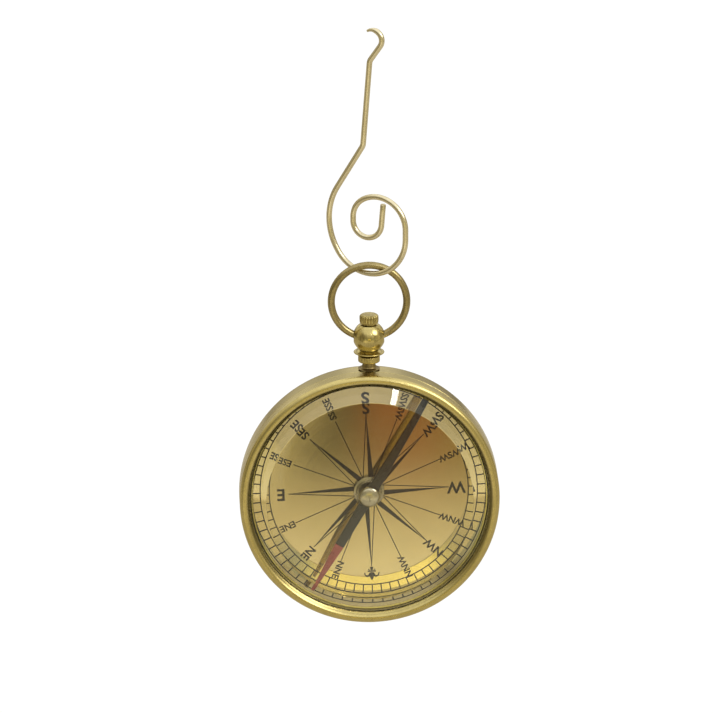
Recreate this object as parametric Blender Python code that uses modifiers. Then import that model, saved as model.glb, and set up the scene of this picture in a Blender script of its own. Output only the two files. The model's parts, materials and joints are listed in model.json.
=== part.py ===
"""Pocket ship compass: a round brass case with a bevelled crystal, hung by its bow ring from a wire hook.

The frame: the origin is the centre of the case's flat back, the dial faces -Y, +X is to the right as seen
from the front, and +Z is up along the crown's axis. A height above the case's back is called a depth
coordinate d, and it runs towards -Y.
"""

from math import asin, cos, pi, radians, sin, sqrt

import bmesh
import bpy
from mathutils import Matrix, Vector

MM = 0.001
SEAT_GAP = 0.3 * MM      # between pieces that seat on or in each other
CROWN_GAP = 0.1 * MM     # between the crown's stacked turnings
RUNNING_GAP = 0.1 * MM   # round a shaft in its hole

# Case
CASE_RADIUS = 25.0 * MM
BACK_ROUNDING = 3.6 * MM
WALL = 2.4 * MM
FLOOR = 0.9 * MM
COVER_MARGIN = 1.9 * MM      # flat rim of the case round the cover
SEAM_DEPTH = 6.6 * MM        # top of the band's full-diameter wall
SPIGOT_WALL = 1.3 * MM       # the thinner wall that the bezel slides over
SPIGOT_HEIGHT = 0.7 * MM

# Bezel
BEZEL_WIDTH = 2.0 * MM
BEZEL_LIP = 0.3 * MM         # thickness of the lip at the glass
BEZEL_CREST = 1.0 * MM       # height of the crest above the lip's underside
BEZEL_ROUNDING = 0.8 * MM

# Crystal
GASKET_THICKNESS = 0.3 * MM
GASKET_WIDTH = 1.0 * MM
CRYSTAL_EDGE = 0.8 * MM
CRYSTAL_SEAT = 0.8 * MM      # width of the rim that the bezel's lip covers
BEVEL_WIDTH = 3.1 * MM
BEVEL_ANGLE = radians(27)

# Dial
SEAT_RING_THICKNESS = 1.1 * MM
SEAT_RING_WIDTH = 1.6 * MM
SPACER_WIDTH = 0.4 * MM
DIAL_THICKNESS = 0.6 * MM
BOSS_RADIUS = 3.0 * MM
BOSS_HEIGHT = 1.2 * MM
BOSS_ROUNDING = 0.4 * MM
PIN_RADIUS = 0.5 * MM
PIN_TIP_LENGTH = 0.7 * MM
PIN_TIP_RADIUS = 0.06 * MM
NUT_WIDTH = 4.0 * MM         # across flats
NUT_THICKNESS = 0.6 * MM

# Needle
NEEDLE_HUB_WALL = 0.35 * MM      # beside the cap's hole
NEEDLE_HUB_LENGTH = 2.4 * MM     # length of the wide hub under the cap
NEEDLE_SHOULDER = 1.0 * MM       # length over which the hub narrows to the blade
NEEDLE_BLADE_WIDTH = 2.0 * MM    # where the blade leaves the hub
NEEDLE_BLACK_TIP_WIDTH = 1.2 * MM
NEEDLE_TIP_GAP = 0.7 * MM        # between the needle's ends and the spacer ring
NEEDLE_RED_START = 11.6 * MM     # distance from the hub to where the narrow red end begins
NEEDLE_RED_WIDTH = 1.8 * MM
NEEDLE_RED_TIP_WIDTH = 0.6 * MM
NEEDLE_THICKNESS = 0.35 * MM
NEEDLE_BEARING = radians(29.7)   # clockwise from +Z as seen from the front
CAP_RADIUS = 2.0 * MM
CAP_NECK_WALL = 0.3 * MM
CAP_HEIGHT = 1.0 * MM
CAP_ROUNDING = 0.7 * MM
CAP_TO_CRYSTAL = 0.4 * MM
JEWEL_RADIUS = 0.6 * MM
JEWEL_THICKNESS = 0.25 * MM
PIVOT_PLAY = 0.1 * MM

# Crown, from the case upwards; each height is the piece's own
STEM_PLANE = 4.9 * MM        # depth coordinate of the crown's axis
STUD_RADIUS = 1.0 * MM
STUD_BITE = 2.0 * MM         # length screwed into the case wall
BASE_RADIUS = 2.1 * MM
BASE_NECK_RADIUS = 1.4 * MM
BASE_HEIGHT = 1.1 * MM
BASE_RIM = 0.25 * MM
COLLAR_RADIUS = 2.1 * MM
COLLAR_HEIGHT = 1.2 * MM
FLANGE_RADIUS = 2.95 * MM
FLANGE_HEIGHT = 1.1 * MM
FLANGE_RIM = 0.28 * MM       # height of the thin rim
FLANGE_HUB_RADIUS = 1.9 * MM
BALL_RADIUS = 3.1 * MM
BALL_FLAT_RADIUS = 1.9 * MM
BALL_BORE_RISE = 0.2 * MM    # the cross bore's axis above the ball's centre
FINIAL_RADIUS = 1.85 * MM
FINIAL_WAIST = 0.2 * MM
FINIAL_ROUNDING = 0.33 * MM
FINIAL_HEIGHT = 2.0 * MM
FINIAL_SPIGOT_RADIUS = 0.8 * MM
FINIAL_SPIGOT_LENGTH = 0.7 * MM

# Bow ring
RING_RADIUS = 7.23 * MM
RING_WIRE_RADIUS = 0.7 * MM
RING_DROP = 0.33 * MM        # the wire's centreline below the bore's axis, which centres its curve in the bore
RING_PLAY = 0.17 * MM        # between the wire and the ball's bore where they come closest
RING_SPLIT = 0.3 * MM

# Hook, named from the hanging bend at its top to the scroll's inner end
HOOK_WIRE_RADIUS = 0.55 * MM
HOOK_TURN = radians(28)      # the hook's plane about +Z: its right side comes forward
HOOK_REST_GAP = 0.4 * MM    # between the ring's wire and the hook's wire where they cross
BEND_RADIUS = 1.93 * MM
BEND_SWEEP = radians(160)
BEND_START = radians(35)     # heading at the tapered tip
BEND_RETURN = 3.3 * MM
KINK_RADIUS = 2.0 * MM
UPPER_KINK = radians(30.3)
SHANK_LENGTH = 15.9 * MM
LOWER_KINK = radians(26.8)
SHOULDER_LENGTH = 9.9 * MM
LEFT_RADIUS = 12.0 * MM
LEFT_SWEEP = radians(66.5)
CRADLE_RADIUS = 7.7 * MM     # the round bottom that the ring hangs in
CRADLE_SWEEP = radians(145)
RIGHT_RISE = 1.8 * MM
CROWN_ARC_RADIUS = 5.95 * MM
CROWN_ARC_SWEEP = radians(120)
SCROLL_RADIUS = 4.3 * MM
SCROLL_SWEEP = radians(60)
SCROLL_DROP = 0.8 * MM
CURL_RADIUS = 3.0 * MM
CURL_SWEEP = radians(175)
END_RISE = 4.2 * MM
TIP_TAPER_LENGTH = 2.0 * MM
TIP_RADIUS_SHARE = 0.45

# Facets
CASE_STEPS = 48
CROWN_STEPS = 24
SMALL_STEPS = 16
RING_POINTS = 40
ARC_STEP = radians(12)
SHADE_ANGLE = radians(35)

# Depth coordinates and radii that follow from the sizes above
INNER_RADIUS = CASE_RADIUS - WALL
SPIGOT_RADIUS = INNER_RADIUS + SPIGOT_WALL
SPIGOT_TOP = SEAM_DEPTH + SPIGOT_HEIGHT
COVER_RADIUS = CASE_RADIUS - BACK_ROUNDING - COVER_MARGIN
COVER_OPENING = COVER_RADIUS + SEAT_GAP
GASKET_BOTTOM = SPIGOT_TOP + SEAT_GAP
CRYSTAL_BOTTOM = GASKET_BOTTOM + GASKET_THICKNESS + SEAT_GAP
CRYSTAL_RIM = CRYSTAL_BOTTOM + CRYSTAL_EDGE
BEZEL_INNER_RADIUS = CASE_RADIUS - BEZEL_WIDTH
CRYSTAL_RADIUS = BEZEL_INNER_RADIUS + CRYSTAL_SEAT
CRYSTAL_FLAT_RADIUS = BEZEL_INNER_RADIUS - BEVEL_WIDTH
BEVEL_RISE = BEVEL_WIDTH * sin(BEVEL_ANGLE) / cos(BEVEL_ANGLE)
CRYSTAL_TOP = CRYSTAL_RIM + BEVEL_RISE
LIP_BOTTOM = CRYSTAL_RIM + SEAT_GAP
BEZEL_TOP = LIP_BOTTOM + BEZEL_CREST
BEZEL_BORE = max(SPIGOT_RADIUS, CRYSTAL_RADIUS) + SEAT_GAP
SEAT_RING_BOTTOM = FLOOR + SEAT_GAP
DIAL_BOTTOM = SEAT_RING_BOTTOM + SEAT_RING_THICKNESS + SEAT_GAP
DIAL_TOP = DIAL_BOTTOM + DIAL_THICKNESS
DIAL_RADIUS = INNER_RADIUS - SEAT_GAP
SPACER_BOTTOM = DIAL_TOP + SEAT_GAP
SPACER_TOP = SPIGOT_TOP
SPACER_RADIUS = INNER_RADIUS - SEAT_GAP
NEEDLE_HALF_LENGTH = SPACER_RADIUS - SPACER_WIDTH - NEEDLE_TIP_GAP
PIN_HOLE_RADIUS = PIN_RADIUS + RUNNING_GAP
BOSS_BOTTOM = DIAL_TOP + SEAT_GAP
NUT_TOP = DIAL_BOTTOM - SEAT_GAP
CAP_TOP = CRYSTAL_BOTTOM - CAP_TO_CRYSTAL
CAP_SHOULDER = CAP_TOP - CAP_HEIGHT
CAP_SOCKET_RADIUS = JEWEL_RADIUS + RUNNING_GAP
CAP_NECK_RADIUS = CAP_SOCKET_RADIUS + CAP_NECK_WALL
BLADE_TOP = CAP_SHOULDER - SEAT_GAP
BLADE_BOTTOM = BLADE_TOP - NEEDLE_THICKNESS
CAP_BOTTOM = BLADE_BOTTOM - SEAT_GAP
JEWEL_TOP = CAP_SHOULDER + CAP_HEIGHT / 2 - RUNNING_GAP
JEWEL_BOTTOM = JEWEL_TOP - JEWEL_THICKNESS
PIN_TOP = JEWEL_BOTTOM - PIVOT_PLAY

# Heights of the crown's pieces along +Z
STUD_HOLE_RADIUS = STUD_RADIUS + RUNNING_GAP
STUD_BOTTOM = CASE_RADIUS - STUD_BITE
BASE_BOTTOM = CASE_RADIUS + SEAT_GAP
COLLAR_BOTTOM = BASE_BOTTOM + BASE_HEIGHT + CROWN_GAP
FLANGE_BOTTOM = COLLAR_BOTTOM + COLLAR_HEIGHT + CROWN_GAP
BALL_BOTTOM = FLANGE_BOTTOM + FLANGE_HEIGHT + CROWN_GAP
BALL_HALF_HEIGHT = sqrt(BALL_RADIUS ** 2 - BALL_FLAT_RADIUS ** 2)
BALL_CENTRE = BALL_BOTTOM + BALL_HALF_HEIGHT
BORE_HEIGHT = BALL_CENTRE + BALL_BORE_RISE
BALL_BORE_RADIUS = RING_WIRE_RADIUS + RING_DROP + RING_PLAY
FINIAL_BOTTOM = BALL_CENTRE + BALL_HALF_HEIGHT + CROWN_GAP
STUD_TOP = BALL_BOTTOM + 0.5 * (BORE_HEIGHT - BALL_BORE_RADIUS - BALL_BOTTOM)
RING_CENTRE = BORE_HEIGHT - RING_DROP + RING_RADIUS
CRADLE_BOTTOM = RING_CENTRE + RING_RADIUS - RING_WIRE_RADIUS - HOOK_REST_GAP - HOOK_WIRE_RADIUS
CRADLE_CENTRE = CRADLE_BOTTOM + CRADLE_RADIUS


def clear_scene():
    """Removes every object, so that the script starts from nothing."""
    for leftover in list(bpy.data.objects):
        bpy.data.objects.remove(leftover, do_unlink=True)


def new_collection(name):
    """Returns a new collection linked to the scene."""
    collection = bpy.data.collections.new(name)
    bpy.context.scene.collection.children.link(collection)
    return collection


def make_material(name, colour, roughness, metallic):
    """Returns a Principled material."""
    material = bpy.data.materials.new(name)
    material.use_nodes = True
    shader = material.node_tree.nodes["Principled BSDF"]
    shader.inputs["Base Color"].default_value = (*colour, 1.0)
    shader.inputs["Roughness"].default_value = roughness
    shader.inputs["Metallic"].default_value = metallic
    return material


def arc(centre_r, centre_h, radius, start, end, steps):
    """Returns steps + 1 points (r, h) on an arc, both ends included; angles are from +r towards +h."""
    angles = [start + (end - start) * i / steps for i in range(steps + 1)]
    return [(centre_r + radius * cos(a), centre_h + radius * sin(a)) for a in angles]


def place_on_case(item, depth=0.0):
    """Turns an object so that its local +Z points out of the dial, and lifts it to a depth coordinate."""
    item.rotation_euler = (pi / 2, 0, 0)
    item.location = (0, -depth, 0)


def place_on_stem(item, height=0.0):
    """Puts an object's axis on the crown's axis."""
    item.location = (0, -STEM_PLANE, height)


class Model:
    """Adds the compass's pieces to their collection and its cutters to another."""

    def __init__(self):
        self.pieces = new_collection("ship_compass")
        self.cutters = new_collection("cutters")

    def add(self, name, data, material=None):
        """Links a new object that holds the data to the pieces, or to the cutters if it has no material."""
        item = bpy.data.objects.new(name, data)
        if material:
            data.materials.append(material)
            self.pieces.objects.link(item)
        else:
            self.cutters.objects.link(item)
            item.hide_render = True
            item.display_type = "WIRE"
        return item

    def apply(self, item):
        """Replaces an object's data by its evaluated mesh, welded and shaded smooth between sharp edges."""
        bpy.context.view_layer.update()
        graph = bpy.context.evaluated_depsgraph_get()
        mesh = bpy.data.meshes.new_from_object(item.evaluated_get(graph))
        shape = bmesh.new()
        shape.from_mesh(mesh)
        bmesh.ops.remove_doubles(shape, verts=shape.verts, dist=0.001 * MM)
        shape.to_mesh(mesh)
        shape.free()
        mesh.shade_smooth()
        mesh.set_sharp_from_angle(angle=SHADE_ANGLE)
        if item.type == "MESH":
            item.modifiers.clear()
            item.data = mesh
            return item
        solid = bpy.data.objects.new(item.name + "_solid", mesh)
        self.pieces.objects.link(solid)
        solid.matrix_world = item.matrix_world
        name = item.name
        bpy.data.objects.remove(item, do_unlink=True)
        solid.name = name
        return solid

    def turned(self, name, profile, material, steps, closed=True):
        """Turns a profile of (r, height) points about local Z.

        The profile runs down its outer side first. A closed one makes a ring, and an open one starts and
        ends on the axis.
        """
        mesh = bpy.data.meshes.new(name)
        points = [(r, 0, height) for r, height in profile]
        edges = [(i, i + 1) for i in range(len(points) - 1)]
        if closed:
            edges.append((len(points) - 1, 0))
        mesh.from_pydata(points, edges, [])
        item = self.add(name, mesh, material)
        screw = item.modifiers.new("turn", "SCREW")
        screw.axis = "Z"
        screw.steps = steps
        screw.render_steps = steps
        screw.use_merge_vertices = True
        screw.merge_threshold = 0.001 * MM
        return self.apply(item)

    def tube(self, name, inner, outer, bottom, top, material, steps):
        """Makes a plain ring between two radii and two heights."""
        profile = [(outer, top), (outer, bottom), (inner, bottom), (inner, top)]
        return self.turned(name, profile, material, steps)

    def wire(self, name, points, radius, material, shares=None):
        """Makes a round wire along a list of points; shares scale its radius at each point."""
        curve = bpy.data.curves.new(name, "CURVE")
        curve.dimensions = "3D"
        curve.bevel_depth = radius
        curve.bevel_resolution = 2
        curve.use_fill_caps = True
        spline = curve.splines.new("POLY")
        spline.points.add(len(points) - 1)
        for i, point in enumerate(points):
            spline.points[i].co = (*point, 1)
            spline.points[i].radius = shares[i] if shares else 1.0
        return self.apply(self.add(name, curve, material))

    def plate(self, name, outlines, thickness, material):
        """Extrudes flat closed outlines; an outline inside another is a hole."""
        curve = bpy.data.curves.new(name, "CURVE")
        curve.dimensions = "2D"
        curve.fill_mode = "BOTH"
        curve.extrude = thickness / 2
        for outline in outlines:
            spline = curve.splines.new("POLY")
            spline.points.add(len(outline) - 1)
            for i, (x, y) in enumerate(outline):
                spline.points[i].co = (x, y, 0, 1)
            spline.use_cyclic_u = True
        return self.apply(self.add(name, curve, material))

    def drill(self, item, name, radius, start, end):
        """Cuts a round hole between two world points and keeps the cutter."""
        mesh = bpy.data.meshes.new(name)
        shape = bmesh.new()
        way = end - start
        bmesh.ops.create_cone(
            shape,
            cap_ends=True,
            segments=CROWN_STEPS,
            radius1=radius,
            radius2=radius,
            depth=way.length,
        )
        shape.to_mesh(mesh)
        shape.free()
        cutter = self.add(name, mesh)
        cutter.location = (start + end) / 2
        cutter.rotation_mode = "QUATERNION"
        cutter.rotation_quaternion = way.to_track_quat("Z", "Y")
        cut = item.modifiers.new(name, "BOOLEAN")
        cut.operation = "DIFFERENCE"
        cut.object = cutter
        return self.apply(item)


def build_case(model):
    """The band, its back cover and the bezel."""
    brass = make_material("case_brass", (0.62, 0.46, 0.18), 0.3, 1.0)
    cover_brass = make_material("cover_brass", (0.60, 0.45, 0.18), 0.32, 1.0)
    bezel_brass = make_material("bezel_brass", (0.58, 0.47, 0.20), 0.25, 1.0)
    outer = [(CASE_RADIUS, SEAM_DEPTH)]
    outer += arc(CASE_RADIUS - BACK_ROUNDING, BACK_ROUNDING, BACK_ROUNDING, 0, -pi / 2, 6)
    inner = [(COVER_OPENING, 0), (COVER_OPENING, FLOOR), (INNER_RADIUS, FLOOR), (INNER_RADIUS, SPIGOT_TOP)]
    spigot = [(SPIGOT_RADIUS, SPIGOT_TOP), (SPIGOT_RADIUS, SEAM_DEPTH)]
    band = model.turned("case_band", spigot + outer + inner, brass, CASE_STEPS)
    place_on_case(band)
    stem = Vector((0, -STEM_PLANE, 0))
    hole_bottom = stem + Vector((0, 0, STUD_BOTTOM - SEAT_GAP))
    hole_top = stem + Vector((0, 0, CASE_RADIUS + WALL))
    model.drill(band, "stud_hole", STUD_HOLE_RADIUS, hole_bottom, hole_top)

    cover = [(0, FLOOR), (COVER_RADIUS, FLOOR), (COVER_RADIUS, 0), (0, 0)]
    place_on_case(model.turned("back_cover", cover, cover_brass, CASE_STEPS, closed=False))

    crest = CASE_RADIUS - BEZEL_ROUNDING
    bezel = arc(crest, BEZEL_TOP - BEZEL_ROUNDING, BEZEL_ROUNDING, pi / 2, 0, 4)
    bezel += [(CASE_RADIUS, SEAM_DEPTH + SEAT_GAP), (BEZEL_BORE, SEAM_DEPTH + SEAT_GAP)]
    bezel += [(BEZEL_BORE, LIP_BOTTOM), (BEZEL_INNER_RADIUS, LIP_BOTTOM)]
    bezel += [(BEZEL_INNER_RADIUS, LIP_BOTTOM + BEZEL_LIP)]
    place_on_case(model.turned("bezel_ring", bezel, bezel_brass, CASE_STEPS))


def build_crystal(model):
    """The gasket on the band's spigot and the bevelled crystal on it."""
    rubber = make_material("gasket_rubber", (0.03, 0.03, 0.03), 0.8, 0.0)
    glass = make_material("crystal_glass", (0.9, 0.93, 0.9), 0.05, 0.0)
    gasket_top = GASKET_BOTTOM + GASKET_THICKNESS
    inner = CRYSTAL_RADIUS - GASKET_WIDTH
    gasket = model.tube("crystal_gasket", inner, CRYSTAL_RADIUS, GASKET_BOTTOM, gasket_top, rubber, CASE_STEPS)
    place_on_case(gasket)
    profile = [(0, CRYSTAL_TOP), (CRYSTAL_FLAT_RADIUS, CRYSTAL_TOP), (BEZEL_INNER_RADIUS, CRYSTAL_RIM)]
    profile += [(CRYSTAL_RADIUS, CRYSTAL_RIM), (CRYSTAL_RADIUS, CRYSTAL_BOTTOM), (0, CRYSTAL_BOTTOM)]
    place_on_case(model.turned("crystal", profile, glass, CASE_STEPS, closed=False))


def build_dial(model):
    """The dial between its seat ring and spacer ring, and the pivot that goes through it."""
    brass = make_material("ring_brass", (0.55, 0.42, 0.16), 0.35, 1.0)
    dial_brass = make_material("dial_brass", (0.66, 0.52, 0.24), 0.2, 1.0)
    steel = make_material("pivot_steel", (0.55, 0.55, 0.56), 0.25, 1.0)
    seat_top = SEAT_RING_BOTTOM + SEAT_RING_THICKNESS
    inner = DIAL_RADIUS - SEAT_RING_WIDTH
    seat = model.tube("dial_seat_ring", inner, DIAL_RADIUS, SEAT_RING_BOTTOM, seat_top, brass, CASE_STEPS)
    dial = model.tube("dial_plate", PIN_HOLE_RADIUS, DIAL_RADIUS, DIAL_BOTTOM, DIAL_TOP, dial_brass, CASE_STEPS)
    inner = SPACER_RADIUS - SPACER_WIDTH
    spacer = model.tube("spacer_ring", inner, SPACER_RADIUS, SPACER_BOTTOM, SPACER_TOP, brass, CASE_STEPS)

    boss_top = BOSS_BOTTOM + BOSS_HEIGHT
    edge = BOSS_RADIUS - BOSS_ROUNDING
    profile = arc(edge, boss_top - BOSS_ROUNDING, BOSS_ROUNDING, pi / 2, 0, 3)
    profile += [(BOSS_RADIUS, BOSS_BOTTOM), (PIN_HOLE_RADIUS, BOSS_BOTTOM), (PIN_HOLE_RADIUS, boss_top)]
    boss = model.turned("pivot_boss", profile, brass, CROWN_STEPS)

    profile = [(0, PIN_TOP), (PIN_TIP_RADIUS, PIN_TOP), (PIN_RADIUS, PIN_TOP - PIN_TIP_LENGTH)]
    profile += [(PIN_RADIUS, NUT_TOP - NUT_THICKNESS), (0, NUT_TOP - NUT_THICKNESS)]
    pin = model.turned("pivot_pin", profile, steel, SMALL_STEPS, closed=False)

    corner = NUT_WIDTH / 2 / cos(pi / 6)
    hexagon = arc(0, 0, corner, 0, 2 * pi * 5 / 6, 5)
    hole = arc(0, 0, PIN_HOLE_RADIUS, 0, 2 * pi * (SMALL_STEPS - 1) / SMALL_STEPS, SMALL_STEPS - 1)
    nut = model.plate("pivot_nut", [hexagon, hole], NUT_THICKNESS, brass)

    for item in (seat, dial, spacer, boss, pin):
        place_on_case(item)
    place_on_case(nut, NUT_TOP - NUT_THICKNESS / 2)


def build_needle(model):
    """The blade, the cap through it and the jewel that runs on the pivot pin."""
    steel = make_material("needle_steel", (0.09, 0.08, 0.07), 0.4, 0.6)
    brass = make_material("cap_brass", (0.60, 0.54, 0.38), 0.25, 1.0)
    ruby = make_material("jewel_ruby", (0.45, 0.03, 0.06), 0.1, 0.0)
    hole_radius = CAP_NECK_RADIUS + RUNNING_GAP
    hub = hole_radius + NEEDLE_HUB_WALL
    half = [
        (NEEDLE_BLACK_TIP_WIDTH / 2, NEEDLE_HALF_LENGTH),
        (NEEDLE_BLADE_WIDTH / 2, NEEDLE_HUB_LENGTH / 2 + NEEDLE_SHOULDER),
        (hub, NEEDLE_HUB_LENGTH / 2),
        (hub, -NEEDLE_HUB_LENGTH / 2),
        (NEEDLE_BLADE_WIDTH / 2, -NEEDLE_HUB_LENGTH / 2 - NEEDLE_SHOULDER),
        (NEEDLE_RED_WIDTH / 2, -NEEDLE_RED_START),
        (NEEDLE_RED_TIP_WIDTH / 2, -NEEDLE_HALF_LENGTH),
    ]
    outline = half + [(-x, y) for x, y in reversed(half)]
    hole = arc(0, 0, hole_radius, 0, 2 * pi * (SMALL_STEPS - 1) / SMALL_STEPS, SMALL_STEPS - 1)
    blade = model.plate("needle_blade", [outline, hole], NEEDLE_THICKNESS, steel)

    profile = [(0, CAP_TOP)]
    profile += arc(CAP_RADIUS - CAP_ROUNDING, CAP_TOP - CAP_ROUNDING, CAP_ROUNDING, pi / 2, 0, 4)
    profile += [(CAP_RADIUS, CAP_SHOULDER), (CAP_NECK_RADIUS, CAP_SHOULDER), (CAP_NECK_RADIUS, CAP_BOTTOM)]
    profile += [(CAP_SOCKET_RADIUS, CAP_BOTTOM), (CAP_SOCKET_RADIUS, JEWEL_TOP + RUNNING_GAP)]
    profile += [(0, JEWEL_TOP + RUNNING_GAP)]
    cap = model.turned("needle_cap", profile, brass, CROWN_STEPS, closed=False)

    profile = [(0, JEWEL_TOP), (JEWEL_RADIUS, JEWEL_TOP), (JEWEL_RADIUS, JEWEL_BOTTOM), (0, JEWEL_BOTTOM)]
    jewel = model.turned("cap_jewel", profile, ruby, SMALL_STEPS, closed=False)

    place_on_case(cap)
    place_on_case(jewel)
    place_on_case(blade, (BLADE_TOP + BLADE_BOTTOM) / 2)
    for item in (blade, cap, jewel):
        item.rotation_euler = (pi / 2, NEEDLE_BEARING, 0)


def build_crown(model):
    """The turnings stacked on the stud above the case, the ball that the ring goes through and its finial."""
    steel = make_material("stud_steel", (0.5, 0.5, 0.5), 0.35, 1.0)
    brass = make_material("crown_brass", (0.60, 0.47, 0.20), 0.28, 1.0)

    profile = [(0, STUD_TOP), (STUD_RADIUS, STUD_TOP), (STUD_RADIUS, STUD_BOTTOM), (0, STUD_BOTTOM)]
    place_on_stem(model.turned("crown_stud", profile, steel, SMALL_STEPS, closed=False))

    top = BASE_BOTTOM + BASE_HEIGHT
    flare = BASE_RADIUS - BASE_NECK_RADIUS
    shoulder = BASE_BOTTOM + BASE_RIM
    sweep = min(flare, BASE_HEIGHT - BASE_RIM)
    profile = [(BASE_NECK_RADIUS, top)]
    profile += arc(BASE_NECK_RADIUS + sweep, shoulder + sweep, sweep, pi, 3 * pi / 2, 4)
    profile += [(BASE_RADIUS, shoulder), (BASE_RADIUS, BASE_BOTTOM)]
    profile += [(STUD_HOLE_RADIUS, BASE_BOTTOM), (STUD_HOLE_RADIUS, top)]
    place_on_stem(model.turned("crown_base", profile, brass, CROWN_STEPS))

    top = COLLAR_BOTTOM + COLLAR_HEIGHT
    collar = model.tube("crown_collar", STUD_HOLE_RADIUS, COLLAR_RADIUS, COLLAR_BOTTOM, top, brass, CROWN_STEPS)
    place_on_stem(collar)

    top = FLANGE_BOTTOM + FLANGE_HEIGHT
    middle = FLANGE_BOTTOM + FLANGE_HEIGHT / 2
    rim = FLANGE_RIM / 2
    profile = [(FLANGE_HUB_RADIUS, top), (FLANGE_RADIUS, middle + rim), (FLANGE_RADIUS, middle - rim)]
    profile += [(FLANGE_HUB_RADIUS, FLANGE_BOTTOM), (STUD_HOLE_RADIUS, FLANGE_BOTTOM), (STUD_HOLE_RADIUS, top)]
    place_on_stem(model.turned("crown_flange", profile, brass, CROWN_STEPS))

    flat = asin(BALL_HALF_HEIGHT / BALL_RADIUS)
    ball_top = BALL_CENTRE + BALL_HALF_HEIGHT
    socket_radius = FINIAL_SPIGOT_RADIUS + RUNNING_GAP
    socket_floor = ball_top - FINIAL_SPIGOT_LENGTH
    profile = [(0, socket_floor), (socket_radius, socket_floor), (socket_radius, ball_top)]
    profile += arc(0, BALL_CENTRE, BALL_RADIUS, flat, -flat, 10)
    profile += [(STUD_HOLE_RADIUS, BALL_BOTTOM), (STUD_HOLE_RADIUS, STUD_TOP + RUNNING_GAP)]
    profile += [(0, STUD_TOP + RUNNING_GAP)]
    ball = model.turned("crown_ball", profile, brass, CROWN_STEPS, closed=False)
    place_on_stem(ball)
    left = Vector((-2 * BALL_RADIUS, -STEM_PLANE, BORE_HEIGHT))
    right = Vector((2 * BALL_RADIUS, -STEM_PLANE, BORE_HEIGHT))
    model.drill(ball, "ring_bore", BALL_BORE_RADIUS, left, right)

    top = FINIAL_BOTTOM + FINIAL_HEIGHT
    rounding = FINIAL_ROUNDING
    profile = [(0, top)]
    profile += arc(FINIAL_RADIUS - rounding, top - rounding, rounding, pi / 2, 0, 3)
    profile += [(FINIAL_RADIUS - FINIAL_WAIST, FINIAL_BOTTOM + FINIAL_HEIGHT / 2)]
    profile += [(FINIAL_RADIUS, FINIAL_BOTTOM + rounding), (FINIAL_RADIUS - rounding, FINIAL_BOTTOM)]
    spigot_end = socket_floor + CROWN_GAP
    profile += [(FINIAL_SPIGOT_RADIUS, FINIAL_BOTTOM), (FINIAL_SPIGOT_RADIUS, spigot_end), (0, spigot_end)]
    place_on_stem(model.turned("crown_finial", profile, brass, CROWN_STEPS, closed=False))


def build_bow_ring(model):
    """The split ring through the ball; its ends meet in the bore."""
    brass = make_material("ring_wire_brass", (0.45, 0.38, 0.18), 0.35, 1.0)
    half_split = RING_SPLIT / 2 / RING_RADIUS
    start = -pi / 2 + half_split
    sweep = 2 * pi - 2 * half_split
    angles = [start + sweep * i / (RING_POINTS - 1) for i in range(RING_POINTS)]
    points = [(RING_RADIUS * cos(a), 0, RING_RADIUS * sin(a)) for a in angles]
    place_on_stem(model.wire("bow_ring", points, RING_WIRE_RADIUS, brass), RING_CENTRE)


class Pen:
    """Draws the hook's centreline in its own plane as straight runs and arcs that meet without a corner."""

    def __init__(self, heading):
        self.place = Vector((0, 0))
        self.heading = heading
        self.points = [self.place.copy()]

    def run(self, length):
        """Draws a straight run."""
        self.place += Vector((cos(self.heading), sin(self.heading))) * length
        self.points.append(self.place.copy())

    def turn(self, radius, sweep):
        """Draws an arc, to the left if the sweep is positive, and returns its centre."""
        side = 1 if sweep > 0 else -1
        to_centre = Vector((-sin(self.heading), cos(self.heading))) * radius * side
        centre = self.place + to_centre
        steps = max(2, round(abs(sweep) / ARC_STEP))
        for i in range(1, steps + 1):
            spoke = Matrix.Rotation(sweep * i / steps, 2) @ -to_centre
            self.points.append(centre + spoke)
        self.place = self.points[-1].copy()
        self.heading += sweep
        return centre


def hook_centreline():
    """Returns the hook's points in its plane, measured from the centre of its round bottom."""
    pen = Pen(BEND_START)
    pen.turn(BEND_RADIUS, -BEND_SWEEP)
    pen.run(BEND_RETURN)
    pen.turn(KINK_RADIUS, UPPER_KINK)
    pen.run(SHANK_LENGTH)
    pen.turn(KINK_RADIUS, -LOWER_KINK)
    pen.run(SHOULDER_LENGTH)
    pen.turn(LEFT_RADIUS, LEFT_SWEEP)
    centre = pen.turn(CRADLE_RADIUS, CRADLE_SWEEP)
    pen.run(RIGHT_RISE)
    pen.turn(CROWN_ARC_RADIUS, CROWN_ARC_SWEEP)
    pen.turn(SCROLL_RADIUS, SCROLL_SWEEP)
    pen.run(SCROLL_DROP)
    pen.turn(CURL_RADIUS, CURL_SWEEP)
    pen.run(END_RISE)
    return [point - centre for point in pen.points]


def taper_shares(points):
    """Returns each point's share of the wire's radius: it narrows towards the tip, which is the first point."""
    shares = []
    travelled = 0.0
    for i, point in enumerate(points):
        if i:
            travelled += (point - points[i - 1]).length
        along = min(1.0, travelled / TIP_TAPER_LENGTH)
        shares.append(TIP_RADIUS_SHARE + (1 - TIP_RADIUS_SHARE) * along)
    return shares


def build_hook(model):
    """The bent wire that the compass hangs from."""
    brass = make_material("hook_wire_brass", (0.70, 0.60, 0.36), 0.25, 1.0)
    flat = hook_centreline()
    points = [(point.x, 0, point.y) for point in flat]
    hook = model.wire("hook_wire", points, HOOK_WIRE_RADIUS, brass, taper_shares(flat))
    place_on_stem(hook, CRADLE_CENTRE)
    hook.rotation_euler = (0, 0, -HOOK_TURN)


def main():
    clear_scene()
    model = Model()
    build_case(model)
    build_crystal(model)
    build_dial(model)
    build_needle(model)
    build_crown(model)
    build_bow_ring(model)
    build_hook(model)


main()
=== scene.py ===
"""Studio model of a brass ship compass: case, bevelled crystal, engraved dial and scrolled wire hook."""

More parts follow.
